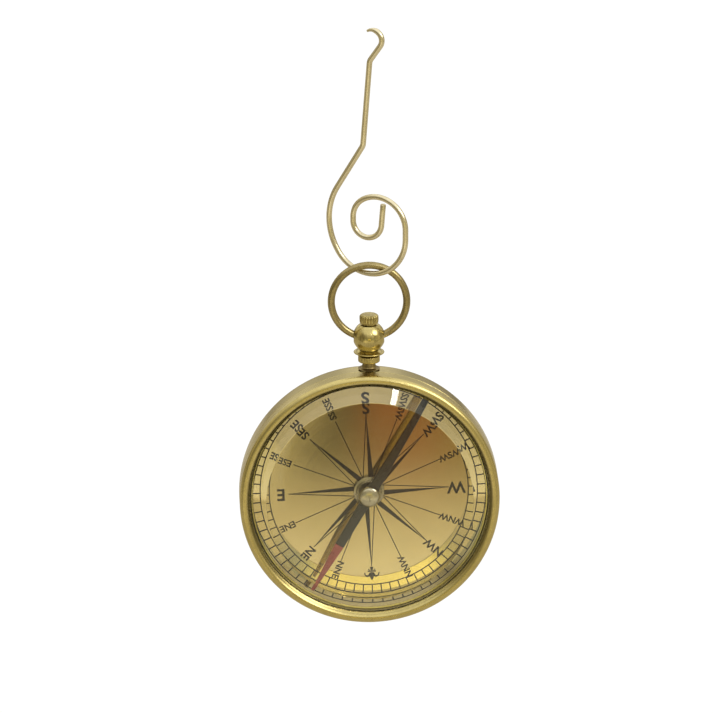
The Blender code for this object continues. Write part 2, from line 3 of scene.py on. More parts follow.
import json
import logging
from dataclasses import dataclass, field, replace
from enum import Enum
from math import atan2, cos, hypot, pi, radians, sin, sqrt
from typing import Iterable, Sequence

import bmesh
import bpy
from mathutils import Matrix, Vector


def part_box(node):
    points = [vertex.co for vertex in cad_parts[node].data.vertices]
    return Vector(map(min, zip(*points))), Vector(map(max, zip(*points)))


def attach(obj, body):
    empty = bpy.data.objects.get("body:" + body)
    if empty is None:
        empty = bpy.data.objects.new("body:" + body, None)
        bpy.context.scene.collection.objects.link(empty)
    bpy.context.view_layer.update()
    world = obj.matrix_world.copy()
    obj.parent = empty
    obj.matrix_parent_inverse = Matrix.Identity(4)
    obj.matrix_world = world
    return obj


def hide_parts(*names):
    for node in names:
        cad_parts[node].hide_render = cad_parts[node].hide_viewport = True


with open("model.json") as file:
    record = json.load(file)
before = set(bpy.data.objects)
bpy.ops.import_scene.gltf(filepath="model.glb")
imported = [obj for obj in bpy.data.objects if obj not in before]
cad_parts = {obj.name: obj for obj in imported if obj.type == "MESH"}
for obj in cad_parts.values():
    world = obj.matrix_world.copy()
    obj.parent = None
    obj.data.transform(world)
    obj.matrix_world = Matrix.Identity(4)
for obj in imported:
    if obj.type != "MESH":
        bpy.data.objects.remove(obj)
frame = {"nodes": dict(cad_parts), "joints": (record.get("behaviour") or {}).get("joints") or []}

LOG = logging.getLogger("ship_compass")
MM = 0.001
Colour = tuple[float, float, float]
Profile = list[tuple[float, float]]
Socket = bpy.types.NodeSocket

MERGE_DISTANCE = 0.0005 * MM  # points nearer than this are one
HARD_EDGE = 32.0  # degrees; sharper edges stay hard
KNURL_EDGE = 50.0  # the same for knurled pieces
WIRE_EDGE = 60.0  # the same for wire
GRAIN_DEPTH = 0.02 * MM
BRASS_LIGHT: Colour = (0.60, 0.495, 0.20)
BRASS_DARK: Colour = (0.21, 0.155, 0.05)


class Body(Enum):
    """The moving bodies that a piece can ride on."""

    HOOK = "hook"
    RING = "ring"
    CASE = "case"
    NEEDLE = "needle"


class Grain(Enum):
    """How a metal's surface was finished."""

    TURNED = "turned"
    DRAWN = "drawn"
    ROLLED = "rolled"


class NodeTree:
    """Builds a shader tree with short calls."""

    def __init__(self, tree: bpy.types.NodeTree) -> None:
        """Wraps a tree and empties it.

        Args:
            tree: the node tree to build in.
        """
        self.tree = tree
        tree.nodes.clear()

    def add(self, kind: str, values: dict | None = None, **settings: object) -> bpy.types.Node:
        """Adds a node.

        Args:
            kind: the node's type name without its ShaderNode prefix.
            values: input name or index to a value or to the output socket that feeds it.
            settings: attributes of the node itself.

        Returns:
            The new node.
        """
        node = self.tree.nodes.new("ShaderNode" + kind)
        for name, value in settings.items():
            setattr(node, name, value)
        for name, value in (values or {}).items():
            socket = node.inputs[name]
            if isinstance(value, Socket):
                self.tree.links.new(value, socket)
            else:
                socket.default_value = value
        return node

    def maths(self, operation: str, *values: object) -> Socket:
        """Adds a Math node and returns its output."""
        return self.add("Math", dict(enumerate(values)), operation=operation).outputs[0]

    def stretch(self, vector: Socket, factors: tuple[float, float, float]) -> Socket:
        """Multiplies a vector by one factor for each axis."""
        return self.add("VectorMath", {0: vector, 1: factors}, operation="MULTIPLY").outputs[0]

    def length(self, vector: Socket) -> Socket:
        """Measures a vector."""
        return self.add("VectorMath", {0: vector}, operation="LENGTH").outputs["Value"]

    def ramp(self, factor: Socket, stops: Sequence[tuple[float, Colour]]) -> Socket:
        """Adds a colour ramp.

        Args:
            factor: what the ramp reads.
            stops: positions with their colours, in order.

        Returns:
            The ramp's colour.
        """
        node = self.add("ValToRGB", {"Fac": factor})
        elements = node.color_ramp.elements
        while len(elements) < len(stops):
            elements.new(0.5)
        for element, (position, colour) in zip(elements, stops):
            element.position = position
            element.color = (*colour, 1.0)
        return node.outputs["Color"]

    def mix(self, factor: object, a: object, b: object, blend: str = "MIX") -> Socket:
        """Mixes two colours and returns the result."""
        node = self.add("Mix", data_type="RGBA", blend_type=blend)
        for index, value in ((0, factor), (6, a), (7, b)):
            if isinstance(value, Socket):
                self.tree.links.new(value, node.inputs[index])
            else:
                node.inputs[index].default_value = value if index == 0 else (*value, 1.0)
        return node.outputs[2]

    def remap(self, value: Socket, low: float, high: float, to_low: float = 0.0, to_high: float = 1.0
              ) -> Socket:
        """Maps a value from one range to another, clamped, and returns it."""
        return self.add("MapRange", {0: value, 1: low, 2: high, 3: to_low, 4: to_high}).outputs[0]

    def noise(self, place: Socket, scale: float, detail: float = 3.0, rough: float = 0.5) -> Socket:
        """Adds 3D noise and returns its value."""
        node = self.add("TexNoise", {"Vector": place, "Scale": scale, "Detail": detail, "Roughness": rough})
        return node.outputs[0]

    def lines(self, along: Socket, scale: float, detail: float = 2.0) -> Socket:
        """Adds noise that varies with one number only, as tool lines do, and returns its value."""
        node = self.add("TexNoise", {"W": along, "Scale": scale, "Detail": detail}, noise_dimensions="1D")
        return node.outputs[0]

    def place(self) -> Socket:
        """Returns the place on the object, in its own coordinates."""
        return self.add("TexCoord").outputs["Object"]

    def relief(self, height: Socket, strength: float, depth: float = GRAIN_DEPTH) -> Socket:
        """Turns a height into a bumped normal."""
        return self.add("Bump", {"Strength": strength, "Distance": depth, "Height": height}).outputs[0]

    def surface(self, values: dict) -> None:
        """Ends a material in one shader for metal, paint or glass.

        Args:
            values: the shader's inputs.
        """
        shader = self.add("BsdfPrincipled", values)
        self.add("OutputMaterial", {"Surface": shader.outputs[0]})


def new_material(name: str) -> tuple[bpy.types.Material, NodeTree]:
    """Makes an empty material.

    Args:
        name: the material's name.

    Returns:
        The material and its tree.
    """
    material = bpy.data.materials.new(name)
    material.use_nodes = True
    return material, NodeTree(material.node_tree)


@dataclass(frozen=True)
class Metal:
    """A bare metal with tool lines, soft tarnish and fine scratches."""

    name: str
    light: Colour
    dark: Colour
    roughness: float
    grain: Grain = Grain.TURNED
    centre: tuple[float, float, float] = (0.0, 0.0, 0.0)
    axis: str = "Y"
    tarnish: float = 0.35
    tarnish_scale: float = 160.0
    line_scale: float = 9000.0
    bump: float = 0.05
    streak: float = 0.22
    speck_ratio: float = 9.0
    speck_share: float = 0.35

    def material(self) -> bpy.types.Material:
        """Builds the material.

        Returns:
            The finished material.
        """
        material, tree = new_material(self.name)
        offset = tuple(-value for value in self.centre)
        local = tree.add("VectorMath", {0: tree.place(), 1: offset}, operation="ADD").outputs[0]
        cloud = tree.noise(local, self.tarnish_scale, 4.0, 0.6)
        speck = tree.noise(local, self.tarnish_scale * self.speck_ratio, 2.0, 0.6)
        fine = tree.lines(self._along(tree, local), self.line_scale)
        broad = tree.maths("MULTIPLY", cloud, 1 - self.speck_share)
        stain = tree.maths("MULTIPLY_ADD", speck, self.speck_share, broad)
        shade = tree.remap(stain, 0.42, 0.68, 0.0, self.tarnish)
        colour = tree.mix(shade, self.light, self.dark)
        colour = tree.mix(tree.remap(fine, 0.3, 0.7, 0.0, self.streak), colour, self.dark)
        rough = tree.maths("MULTIPLY_ADD", fine, 0.10, self.roughness - 0.05)
        rough = tree.maths("MULTIPLY_ADD", shade, 0.25, rough)
        height = tree.maths("MULTIPLY_ADD", cloud, 0.4, fine)
        relief = tree.relief(height, self.bump)
        tree.surface({"Base Color": colour, "Roughness": rough, "Metallic": 1.0, "Normal": relief})
        return material

    def _along(self, tree: NodeTree, local: Socket) -> Socket:
        """Finds what the tool lines follow.

        Args:
            tree: the material's tree.
            local: the place, from the turning's centre.

        Returns:
            The radius and height on a turning, the radius on drawn wire, or one side on a rolled sheet.
        """
        keep = {"X": (0, 1, 1), "Y": (1, 0, 1), "Z": (1, 1, 0)}[self.axis]
        radius = tree.length(tree.stretch(local, keep))
        parts = tree.add("SeparateXYZ", {0: local})
        if self.grain is Grain.TURNED:
            return tree.maths("MULTIPLY_ADD", parts.outputs[self.axis], 0.8, radius)
        if self.grain is Grain.DRAWN:
            return radius
        return parts.outputs["X"]


@dataclass(frozen=True)
class Coating:
    """An ink, paint, rubber or stone: a dielectric with mottling and a little relief."""

    name: str
    light: Colour
    dark: Colour
    roughness: float
    scale: float = 700.0
    bump: float = 0.1

    def material(self) -> bpy.types.Material:
        """Builds the material.

        Returns:
            The finished material.
        """
        material, tree = new_material(self.name)
        mottle = tree.noise(tree.place(), self.scale, 4.0, 0.6)
        colour = tree.ramp(mottle, [(0.35, self.dark), (0.65, self.light)])
        rough = tree.maths("MULTIPLY_ADD", mottle, 0.2, self.roughness - 0.1)
        relief = tree.relief(mottle, self.bump)
        tree.surface({"Base Color": colour, "Roughness": rough, "Metallic": 0.0, "Normal": relief})
        return material


@dataclass(frozen=True)
class DialMetal:
    """The dial's polished brass: fine turning, a soft warm stain and pin-prick spots."""

    name: str
    light: Colour
    dark: Colour
    roughness: float
    metallic: float = 0.94
    stain: float = 0.16
    spot: float = 0.5

    def material(self) -> bpy.types.Material:
        """Builds the material.

        Returns:
            The finished material.
        """
        material, tree = new_material(self.name)
        flat = tree.stretch(tree.place(), (1, 0, 1))
        cloud = tree.noise(flat, 90.0, 3.0, 0.55)
        spots = tree.remap(tree.noise(flat, 2600.0, 1.0), 0.68, 0.75, 0.0, self.spot)
        fine = tree.lines(tree.length(flat), 12000.0)
        shade = tree.remap(cloud, 0.4, 0.7, 0.0, self.stain)
        colour = tree.mix(shade, self.light, self.dark)
        colour = tree.mix(spots, colour, self.dark)
        rough = tree.maths("MULTIPLY_ADD", fine, 0.05, self.roughness - 0.025)
        rough = tree.maths("MULTIPLY_ADD", shade, 0.08, rough)
        relief = tree.relief(fine, 0.02, GRAIN_DEPTH / 2)
        tree.surface({"Base Color": colour, "Roughness": rough, "Metallic": self.metallic, "Normal": relief})
        return material


@dataclass(frozen=True)
class ClearGlass:
    """Clear crystal glass with a trace of smear."""

    name: str
    tint: Colour
    clearest: Colour = (0.99, 0.99, 0.975)
    index: float = 1.52
    smear: float = 0.006

    def material(self) -> bpy.types.Material:
        """Builds the material.

        Returns:
            The finished material.
        """
        material, tree = new_material(self.name)
        smear = tree.noise(tree.place(), 160.0, 4.0, 0.7)
        rough = tree.remap(smear, 0.60, 0.85, 0.0, self.smear)
        tint = tree.mix(tree.remap(smear, 0.3, 0.7), self.tint, self.clearest)
        tree.surface({"Base Color": tint, "Roughness": rough, "IOR": self.index, "Transmission Weight": 1.0})
        return material


class Shape:
    """A bmesh under construction, with the operators that these pieces need."""

    def __init__(self, mesh: bmesh.types.BMesh | None = None) -> None:
        """Starts from a mesh, or empty.

        Args:
            mesh: what to start from.
        """
        self.mesh = bmesh.new() if mesh is None else mesh

    def turn(self, profile: Profile, steps: int, sweep: float = 2 * pi, closed: bool = True) -> "Shape":
        """Spins a profile about +Z.

        Args:
            profile: points as (radius, height).
            steps: facets round the sweep.
            sweep: angle of the spin.
            closed: joins the last point to the first.

        Returns:
            This shape.
        """
        corners = [self.mesh.verts.new((radius, 0, height)) for radius, height in profile]
        pairs = list(zip(corners, corners[1:]))
        if closed:
            pairs.append((corners[-1], corners[0]))
        edges = [self.mesh.edges.new(pair) for pair in pairs]
        bmesh.ops.spin(
            self.mesh,
            geom=corners + edges,
            cent=(0, 0, 0),
            axis=(0, 0, 1),
            angle=sweep,
            steps=steps,
            use_merge=sweep == 2 * pi,
        )
        return self.tidy()

    def tidy(self) -> "Shape":
        """Merges doubles and turns the faces outwards."""
        bmesh.ops.remove_doubles(self.mesh, verts=self.mesh.verts[:], dist=MERGE_DISTANCE)
        bmesh.ops.recalc_face_normals(self.mesh, faces=self.mesh.faces[:])
        return self

    def transform(self, matrix: Matrix) -> "Shape":
        """Applies a matrix to every vertex."""
        bmesh.ops.transform(self.mesh, matrix=matrix, verts=self.mesh.verts[:])
        return self

    def piece(self, name: str, body: Body, slot: str, materials: Sequence[bpy.types.Material],
              nodes: Iterable[str] = (), sharp: float = HARD_EDGE) -> bpy.types.Object:
        """Makes the finished object.

        Args:
            name: the piece's name.
            body: what it rides on.
            slot: the record's material slot; not used.
            materials: one for each material index in the faces.
            nodes: the CAD nodes that it stands for.
            sharp: edges sharper than this many degrees stay hard.

        Returns:
            The new object.
        """
        data = bpy.data.meshes.new(name)
        self.mesh.to_mesh(data)
        self.mesh.free()
        data.shade_smooth()
        data.set_sharp_from_angle(angle=radians(sharp))
        for material in materials:
            data.materials.append(material)
        item = bpy.data.objects.new(name, data)
        bpy.context.scene.collection.objects.link(item)
        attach(item, body.value)
        if nodes:
            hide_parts(*nodes)
        LOG.info("%s rides on %s, %d faces", name, body.value, len(data.polygons))
        return item


LONGEST_CUT = 0.42  # a corner's share of each side beside it, at most
GUARD_REACH = 1.12  # how far out the guard points stand, as a share of the cut


def rounded(profile: Profile, radius: float, segments: int = 4) -> Profile:
    """Rounds every corner of a closed profile.

    Args:
        profile: corner points in order.
        radius: the largest rounding; short sides get less.
        segments: pieces in each rounding.

    Returns:
        The profile with curved corners, each between two guard points that keep the flats flat.
    """
    smooth: Profile = []
    for i, corner in enumerate(profile):
        here = Vector(corner)
        before = Vector(profile[i - 1]) - here
        after = Vector(profile[(i + 1) % len(profile)]) - here
        reach = min(radius, before.length * LONGEST_CUT, after.length * LONGEST_CUT)
        start = here + before.normalized() * reach
        end = here + after.normalized() * reach
        points = [here + before.normalized() * reach * GUARD_REACH]
        for step in range(segments + 1):
            t = step / segments
            points.append(start * (1 - t) ** 2 + here * 2 * t * (1 - t) + end * t ** 2)
        points.append(here + after.normalized() * reach * GUARD_REACH)
        smooth += [(point.x, point.y) for point in points]
    return smooth


def arc(centre: tuple[float, float], radius: float, start: float, end: float, steps: int) -> Profile:
    """Returns points on an arc, both ends included, with angles in degrees."""
    angles = [radians(start + (end - start) * i / steps) for i in range(steps + 1)]
    return [(centre[0] + radius * cos(a), centre[1] + radius * sin(a)) for a in angles]


FACE_FORWARD = Matrix.Rotation(pi / 2, 4, "X")


@dataclass
class Disc:
    """The place of a CAD piece that is turned about the dial's axis, as radius and heights above the back."""

    radius: float
    low: float
    high: float

    @classmethod
    def of(cls, node: str) -> "Disc":
        """Reads a node's box.

        Args:
            node: the CAD node's name.

        Returns:
            Its radius and its lowest and highest depth coordinate.
        """
        low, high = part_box(node)
        return cls((high.x - low.x) / 2, -high.y, -low.y)

    def tube(self, inner: float) -> Profile:
        """Returns the section of a plain ring with this outside and an inner radius."""
        return [(self.radius, self.high), (self.radius, self.low), (inner, self.low), (inner, self.high)]


@dataclass
class Stem:
    """The place of a CAD piece that is turned about the crown's axis."""

    centre: Vector
    radius: float
    low: float
    high: float

    @classmethod
    def of(cls, node: str) -> "Stem":
        """Reads a node's box.

        Args:
            node: the CAD node's name.

        Returns:
            Its axis, radius and heights.
        """
        low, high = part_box(node)
        middle = (low + high) / 2
        return cls(Vector((middle.x, middle.y, 0)), (high.y - low.y) / 2, low.z, high.z)

    @property
    def place(self) -> Matrix:
        """The move from the world's upright axis to the crown's."""
        return Matrix.Translation(self.centre)


def dress(node: str, finish: Metal | Coating) -> None:
    """Gives a CAD node a finish.

    Args:
        node: the CAD node's name.
        finish: what it is made of.
    """
    data = frame["nodes"][node].data
    data.materials.clear()
    data.materials.append(finish.material())


def joint(name: str) -> dict:
    """Returns a joint's row from the frame."""
    return next(row for row in frame["joints"] if row["name"] == name)


@dataclass
class CaseShell:
    """The band, the back cover and the bezel."""

    steps: int = 192
    wall: float = 2.4 * MM
    back_rounding: float = 3.6 * MM
    edge: float = 0.12 * MM
    seam_height: float = 6.8 * MM
    seam_edge: float = 0.04 * MM
    seam_gap: float = 0.12 * MM
    spigot_wall: float = 1.3 * MM
    cover_play: float = 0.05 * MM
    dimple: float = 0.5 * MM
    ring_share: float = 0.86
    groove: float = 0.10 * MM
    groove_floor: float = 0.3 * MM
    groove_slope: float = 0.2 * MM
    guard: float = 0.05 * MM
    skirt_play: float = 0.2 * MM
    lip_width: float = 2.0 * MM
    lip_depth: float = 1.24 * MM
    crest: float = 0.95 * MM
    sight_edge: tuple[tuple[float, float], ...] = ((0.0, 0.46), (0.10, 0.56), (0.35, 0.78))  # millimetres
    band_finish: Metal = Metal("polished_case_brass", BRASS_LIGHT, BRASS_DARK, 0.16, tarnish=0.30)
    cover_finish: Metal = Metal("spun_cover_brass", BRASS_LIGHT, BRASS_DARK, 0.20, tarnish=0.35, bump=0.12)
    bezel_finish: Metal = Metal(
        "polished_bezel_brass", (0.62, 0.51, 0.205), (0.26, 0.20, 0.07), 0.25, tarnish=0.32)

    def build(self) -> None:
        """Makes the three turned shells."""
        self._band()
        self._cover()
        self._bezel()

    def _band(self) -> None:
        """The drum wall with its rounded back edge and the spigot under the bezel."""
        band, cover = Disc.of("case_band"), Disc.of("back_cover")
        seam = self.seam_height
        bore = band.radius - self.wall
        opening = cover.radius + self.cover_play
        bend = self.back_rounding
        profile = [(bore + self.spigot_wall, band.high), (bore + self.spigot_wall, seam)]
        profile += [(band.radius - self.seam_edge, seam), (band.radius, seam - self.seam_edge)]
        profile += arc((band.radius - bend, band.low + bend), bend, 0, -90, 18)
        profile += [(opening + self.edge, band.low), (opening, band.low + self.edge)]
        profile += [(opening, cover.high), (bore, cover.high), (bore, band.high)]
        shape = Shape().turn(profile, self.steps).transform(FACE_FORWARD)
        shape.piece("case_band_turned", Body.CASE, "case_brass", [self.band_finish.material()], ["case_band"])

    def _cover(self) -> None:
        """The flat back, with a shallow turned ring and a centre dimple from the lathe."""
        cover = Disc.of("back_cover")
        low, floor, slope = cover.low, cover.low + self.groove, self.groove_slope
        ring = cover.radius * self.ring_share
        reach = self.groove_floor + slope
        profile = [(0, floor), (self.dimple, floor), (self.dimple + slope, low)]
        for middle in (self.dimple + slope + self.guard, ring * 0.5, ring - reach - self.guard):
            profile.append((middle, low))
        profile += [(ring - reach, low), (ring - self.groove_floor, floor)]
        profile += [(ring + self.groove_floor, floor), (ring + reach, low)]
        profile += [(ring + reach + self.guard, low), (cover.radius - 1.4 * self.edge, low)]
        profile += [(cover.radius - self.edge, low), (cover.radius, low + self.edge)]
        profile += [(cover.radius, cover.high), (0, cover.high)]
        shape = Shape().turn(profile, self.steps, closed=False).transform(FACE_FORWARD)
        finish = self.cover_finish.material()
        shape.piece("back_cover_turned", Body.CASE, "case_brass", [finish], ["back_cover"])

    def _bezel(self) -> None:
        """The ring that holds the crystal: a round crest and a slope down to the glass."""
        bezel, crystal = Disc.of("bezel_ring"), Disc.of("crystal")
        inner = bezel.radius - self.lip_width
        skirt = crystal.radius + self.skirt_play
        lip = bezel.high - self.lip_depth
        low = self.seam_height + self.seam_gap
        profile = [(bezel.radius, low + self.seam_edge), (bezel.radius - self.seam_edge, low)]
        profile += [(skirt, low), (skirt, lip), (inner, lip)]
        profile += [(inner + out * MM, lip + up * MM) for out, up in self.sight_edge]
        profile += arc((bezel.radius - self.crest, bezel.high - self.crest), self.crest, 118, 0, 18)
        shape = Shape().turn(profile, self.steps).transform(FACE_FORWARD)
        shape.piece("bezel_turned", Body.CASE, "bezel_brass", [self.bezel_finish.material()], ["bezel_ring"])


@dataclass
class Crystal:
    """The bevelled glass and the gasket under it."""

    steps: int = 256
    bevel_width: float = 3.1 * MM
    seat: float = 0.8 * MM
    edge_height: float = 0.8 * MM
    arris: float = 0.06 * MM
    gasket_width: float = 1.0 * MM
    gasket_edge: float = 0.1 * MM
    glass: ClearGlass = ClearGlass("crystal_glass", (0.97, 0.985, 0.955))
    rubber: Coating = Coating("gasket_rubber", (0.20, 0.18, 0.11), (0.12, 0.105, 0.06), 0.6)

    def build(self) -> None:
        """Makes the glass and its gasket."""
        glass = Disc.of("crystal")
        shoulder = glass.radius - self.seat
        flat = shoulder - self.bevel_width
        rim = glass.low + self.edge_height
        corners = [(flat, glass.high), (shoulder, rim), (glass.radius, rim), (glass.radius, glass.low)]
        ends = [(0, glass.low), (0, glass.high)]
        profile = rounded(ends + corners, self.arris, 3)
        middle = [point for point in profile if point[0] > self.arris]
        shape = Shape().turn([(0, glass.high)] + middle + [(0, glass.low)], self.steps, closed=False)
        shape.transform(FACE_FORWARD)
        shape.piece("crystal_bevelled", Body.CASE, "crystal_glass", [self.glass.material()], ["crystal"])
        gasket = Disc.of("crystal_gasket")
        profile = rounded(gasket.tube(gasket.radius - self.gasket_width), self.gasket_edge)
        shape = Shape().turn(profile, self.steps).transform(FACE_FORWARD)
        shape.piece("gasket_round", Body.CASE, "gasket_rubber", [self.rubber.material()], ["crystal_gasket"])


@dataclass
class Artwork:
    """Collects flat outlines on the dial and makes them one thin layer of ink.

    Outlines are in the dial's own plane as seen from the front, with x to the right and y up.
    """

    name: str
    level: float
    thickness: float = 0.012 * MM
    mesh: bmesh.types.BMesh = field(default_factory=bmesh.new)

    def polygon(self, points: Sequence[tuple[float, float]]) -> None:
        """Adds a filled outline."""
        corners = [self.mesh.verts.new((x, y, 0)) for x, y in points]
        self.mesh.faces.new(corners)

    def stroke(self, start: Vector, end: Vector, width: float) -> None:
        """Adds a straight line with a width."""
        side = (end - start).orthogonal().normalized() * width / 2
        self.polygon([tuple(start + side), tuple(start - side), tuple(end - side), tuple(end + side)])

    def ring(self, radius: float, width: float, steps: int = 180) -> None:
        """Adds a circle with a line width."""
        loops = []
        for edge in (radius - width / 2, radius + width / 2):
            made = bmesh.ops.create_circle(self.mesh, cap_ends=False, segments=steps, radius=edge)
            verts = set(made["verts"])
            loops += [e for e in self.mesh.edges if set(e.verts) <= verts]
        bmesh.ops.bridge_loops(self.mesh, edges=loops)

    def text(self, words: str, size: float, place: Matrix, weight: float) -> None:
        """Adds lettering centred on a place.

        Args:
            words: what it says.
            size: the font's size.
            place: turns and moves the lettering on the dial.
            weight: how much each stroke is thickened, as a share of the size.
        """
        curve = bpy.data.curves.new(words, "FONT")
        curve.body = words
        curve.size = size
        curve.align_x = "CENTER"
        curve.align_y = "CENTER"
        curve.offset = weight * size
        curve.resolution_u = 3
        holder = bpy.data.objects.new(words, curve)
        bpy.context.scene.collection.objects.link(holder)
        bpy.context.view_layer.update()
        graph = bpy.context.evaluated_depsgraph_get()
        flat = bpy.data.meshes.new_from_object(holder.evaluated_get(graph))
        bpy.data.objects.remove(holder)
        bpy.data.curves.remove(curve)
        flat.transform(place)
        self.mesh.from_mesh(flat)
        bpy.data.meshes.remove(flat)

    def finish(self, material: bpy.types.Material) -> bpy.types.Object:
        """Gives the ink its thickness, lays it on the dial and makes the piece.

        Args:
            material: the ink.

        Returns:
            The piece.
        """
        bmesh.ops.remove_doubles(self.mesh, verts=self.mesh.verts[:], dist=MERGE_DISTANCE)
        self.mesh.normal_update()
        flipped = [face for face in self.mesh.faces if face.normal.z < 0]
        bmesh.ops.reverse_faces(self.mesh, faces=flipped)
        made = bmesh.ops.extrude_face_region(self.mesh, geom=self.mesh.faces[:])
        top = [item for item in made["geom"] if isinstance(item, bmesh.types.BMVert)]
        bmesh.ops.translate(self.mesh, vec=(0, 0, self.thickness), verts=top)
        bmesh.ops.recalc_face_normals(self.mesh, faces=self.mesh.faces[:])
        shape = Shape(self.mesh).transform(FACE_FORWARD @ Matrix.Translation((0, 0, self.level)))
        return shape.piece(self.name, Body.CASE, "dial_brass", [material])


# the lily's straight parts, in millimetres across and along from its own middle
LILY_BAND = [(-0.80, -0.52), (0.80, -0.52), (0.80, -0.27), (-0.80, -0.27)]
LILY_STEM = [(-0.18, -0.54), (-0.34, -1.3), (0.34, -1.3), (0.18, -0.54)]
LILY_FOOT = [(0.28, -0.54), (0.62, -0.60), (0.72, -1.0), (0.50, -0.84)]


@dataclass
class Dial:
    """The engraved plate with its rose, letters and degree scale, and the rings it sits between."""

    steps: int = 192
    turn: float = 178.0
    spike_start: float = 2.8 * MM
    spike_end: float = 15.5 * MM
    spike_half_width: float = 1.0 * MM
    hair: float = 0.17 * MM
    line: float = 0.22 * MM
    scale_inner: float = 19.2 * MM
    scale_outer: float = 21.0 * MM
    tick_step: int = 5
    cardinal_radius: float = 16.9 * MM
    cardinal_size: float = 3.3 * MM
    label_radius: float = 17.2 * MM
    label_size: float = 1.80 * MM
    quarter_size: float = 2.3 * MM
    letter_weight: float = 0.026
    hole: float = 0.6 * MM
    plate_edge: float = 0.08 * MM
    ring_edge: float = 0.1 * MM
    seat_width: float = 1.6 * MM
    spacer_width: float = 0.4 * MM
    plate: DialMetal = DialMetal("dial_brass_polished", (0.70, 0.585, 0.31), (0.48, 0.37, 0.15), 0.027)
    ink: Coating = Coating("dial_ink", (0.030, 0.018, 0.007), (0.014, 0.008, 0.004), 0.6)
    inner: Metal = Metal("inner_ring_brass", (0.62, 0.47, 0.19), BRASS_DARK, 0.24, tarnish=0.4)
    mirror: Metal = Metal(
        "spacer_ring_brass", (0.80, 0.68, 0.24), (0.62, 0.48, 0.14), 0.09, tarnish=0.15, line_scale=2500.0,
        bump=0.01)

    def bearing(self, degrees: float) -> Vector:
        """Returns the direction of a compass bearing on the dial."""
        angle = radians(90 - self.turn - degrees)
        return Vector((cos(angle), sin(angle)))

    def build(self) -> None:
        """Makes the plate, its artwork and its rings."""
        self._plates()
        ink = self.ink.material()
        level = Disc.of("dial_plate").high
        self._rose(level).finish(ink)
        self._scale(level).finish(ink)
        self._letters(level).finish(ink)
        self._lily(level).finish(ink)

    def _plates(self) -> None:
        """The dial plate, the seat ring under it and the spacer ring above it."""
        dial = Disc.of("dial_plate")
        profile = rounded(dial.tube(self.hole), self.plate_edge, 2)
        shape = Shape().turn(profile, self.steps).transform(FACE_FORWARD)
        shape.piece("dial_plate_polished", Body.CASE, "dial_brass", [self.plate.material()], ["dial_plate"])
        for node, width, metal in (
            ("dial_seat_ring", self.seat_width, self.inner),
            ("spacer_ring", self.spacer_width, self.mirror),
        ):
            ring = Disc.of(node)
            profile = rounded(ring.tube(ring.radius - width), self.ring_edge, 3)
            shape = Shape().turn(profile, self.steps).transform(FACE_FORWARD)
            shape.piece(node + "_turned", Body.CASE, "inner_brass", [metal.material()], [node])

    def _rose(self, level: float) -> Artwork:
        """Eight spikes, each half filled, and eight hairlines between them."""
        art = Artwork("dial_rose", level)
        for i in range(16):
            way = self.bearing(i * 22.5)
            root, tip = way * self.spike_start, way * self.spike_end
            if i % 2:
                art.stroke(root, tip, self.hair)
                continue
            clockwise = Vector((way.y, -way.x)) * self.spike_half_width
            art.polygon([tuple(root), tuple(tip), tuple(root + clockwise)])
            art.stroke(root - clockwise, tip, self.hair)
        return art

    def _scale(self, level: float) -> Artwork:
        """Two circles and a tick for every few degrees between them."""
        art = Artwork("dial_scale", level)
        art.ring(self.scale_inner, self.line)
        art.ring(self.scale_outer, self.line)
        inset = self.line * 0.45
        for degrees in range(0, 360, self.tick_step):
            way = self.bearing(degrees)
            art.stroke(way * (self.scale_inner + inset), way * (self.scale_outer - inset), self.line)
        return art

    def _letters(self, level: float) -> Artwork:
        """Upright cardinal letters and radial labels that read with north up."""
        art = Artwork("dial_letters", level)
        north_up = Matrix.Rotation(radians(-self.turn), 4, "Z")
        for words, degrees in (("E", 90), ("S", 180), ("W", 270)):
            spot = self.bearing(degrees) * self.cardinal_radius
            place = Matrix.Translation((*spot, 0)) @ north_up
            art.text(words, self.cardinal_size, place, self.letter_weight)
        labels = {
            "NNE": 22.5, "NE": 45, "ENE": 67.5, "ESE": 112.5, "SE": 135, "SSE": 157.5,
            "SSW": 202.5, "SW": 225, "WSW": 247.5, "WNW": 292.5, "NW": 315, "NNW": 337.5,
        }
        for words, degrees in labels.items():
            way = self.bearing(degrees)
            reading = way if degrees < 180 else -way
            turn = Matrix.Rotation(atan2(reading.y, reading.x), 4, "Z")
            place = Matrix.Translation((*(way * self.label_radius), 0)) @ turn
            size = self.quarter_size if len(words) == 2 else self.label_size
            art.text(words, size, place, self.letter_weight)
        return art

    def _lily(self, level: float) -> Artwork:
        """A small three-leaved lily that marks north."""
        art = Artwork("dial_north_lily", level)
        way = self.bearing(0)
        side = Vector((way.y, -way.x))
        centre = way * self.cardinal_radius

        def at(across: float, along: float) -> tuple[float, float]:
            """Returns a place on the dial, from millimetres across and along north."""
            spot = centre + side * across * MM + way * along * MM
            return spot.x, spot.y

        def curve(reach: float, width: float, foot: float, rise: float, start: float, sweep: float
                  ) -> Profile:
            """Returns one edge of a side leaf, drawn as part of an ellipse."""
            angles = [radians(start + sweep * k / 11) for k in range(12)]
            return [(reach - width * cos(a), foot + rise * sin(a)) for a in angles]

        half = [(0.42 * sin(pi * (t / 8) ** 0.8), -0.25 + 1.75 * t / 8) for t in range(9)]
        leaf = half + [(-across, along) for across, along in half[7:0:-1]]
        wing = curve(0.82, 0.66, -0.05, 0.85, -12, 200) + curve(0.90, 0.34, 0.0, 0.45, 0, 190)[::-1]
        for outline, hands in ((leaf, (1,)), (wing, (-1, 1)), (LILY_BAND, (1,)), (LILY_STEM, (1,)),
                               (LILY_FOOT, (-1, 1))):
            for hand in hands:
                art.polygon([at(hand * across, along) for across, along in outline])
        return art


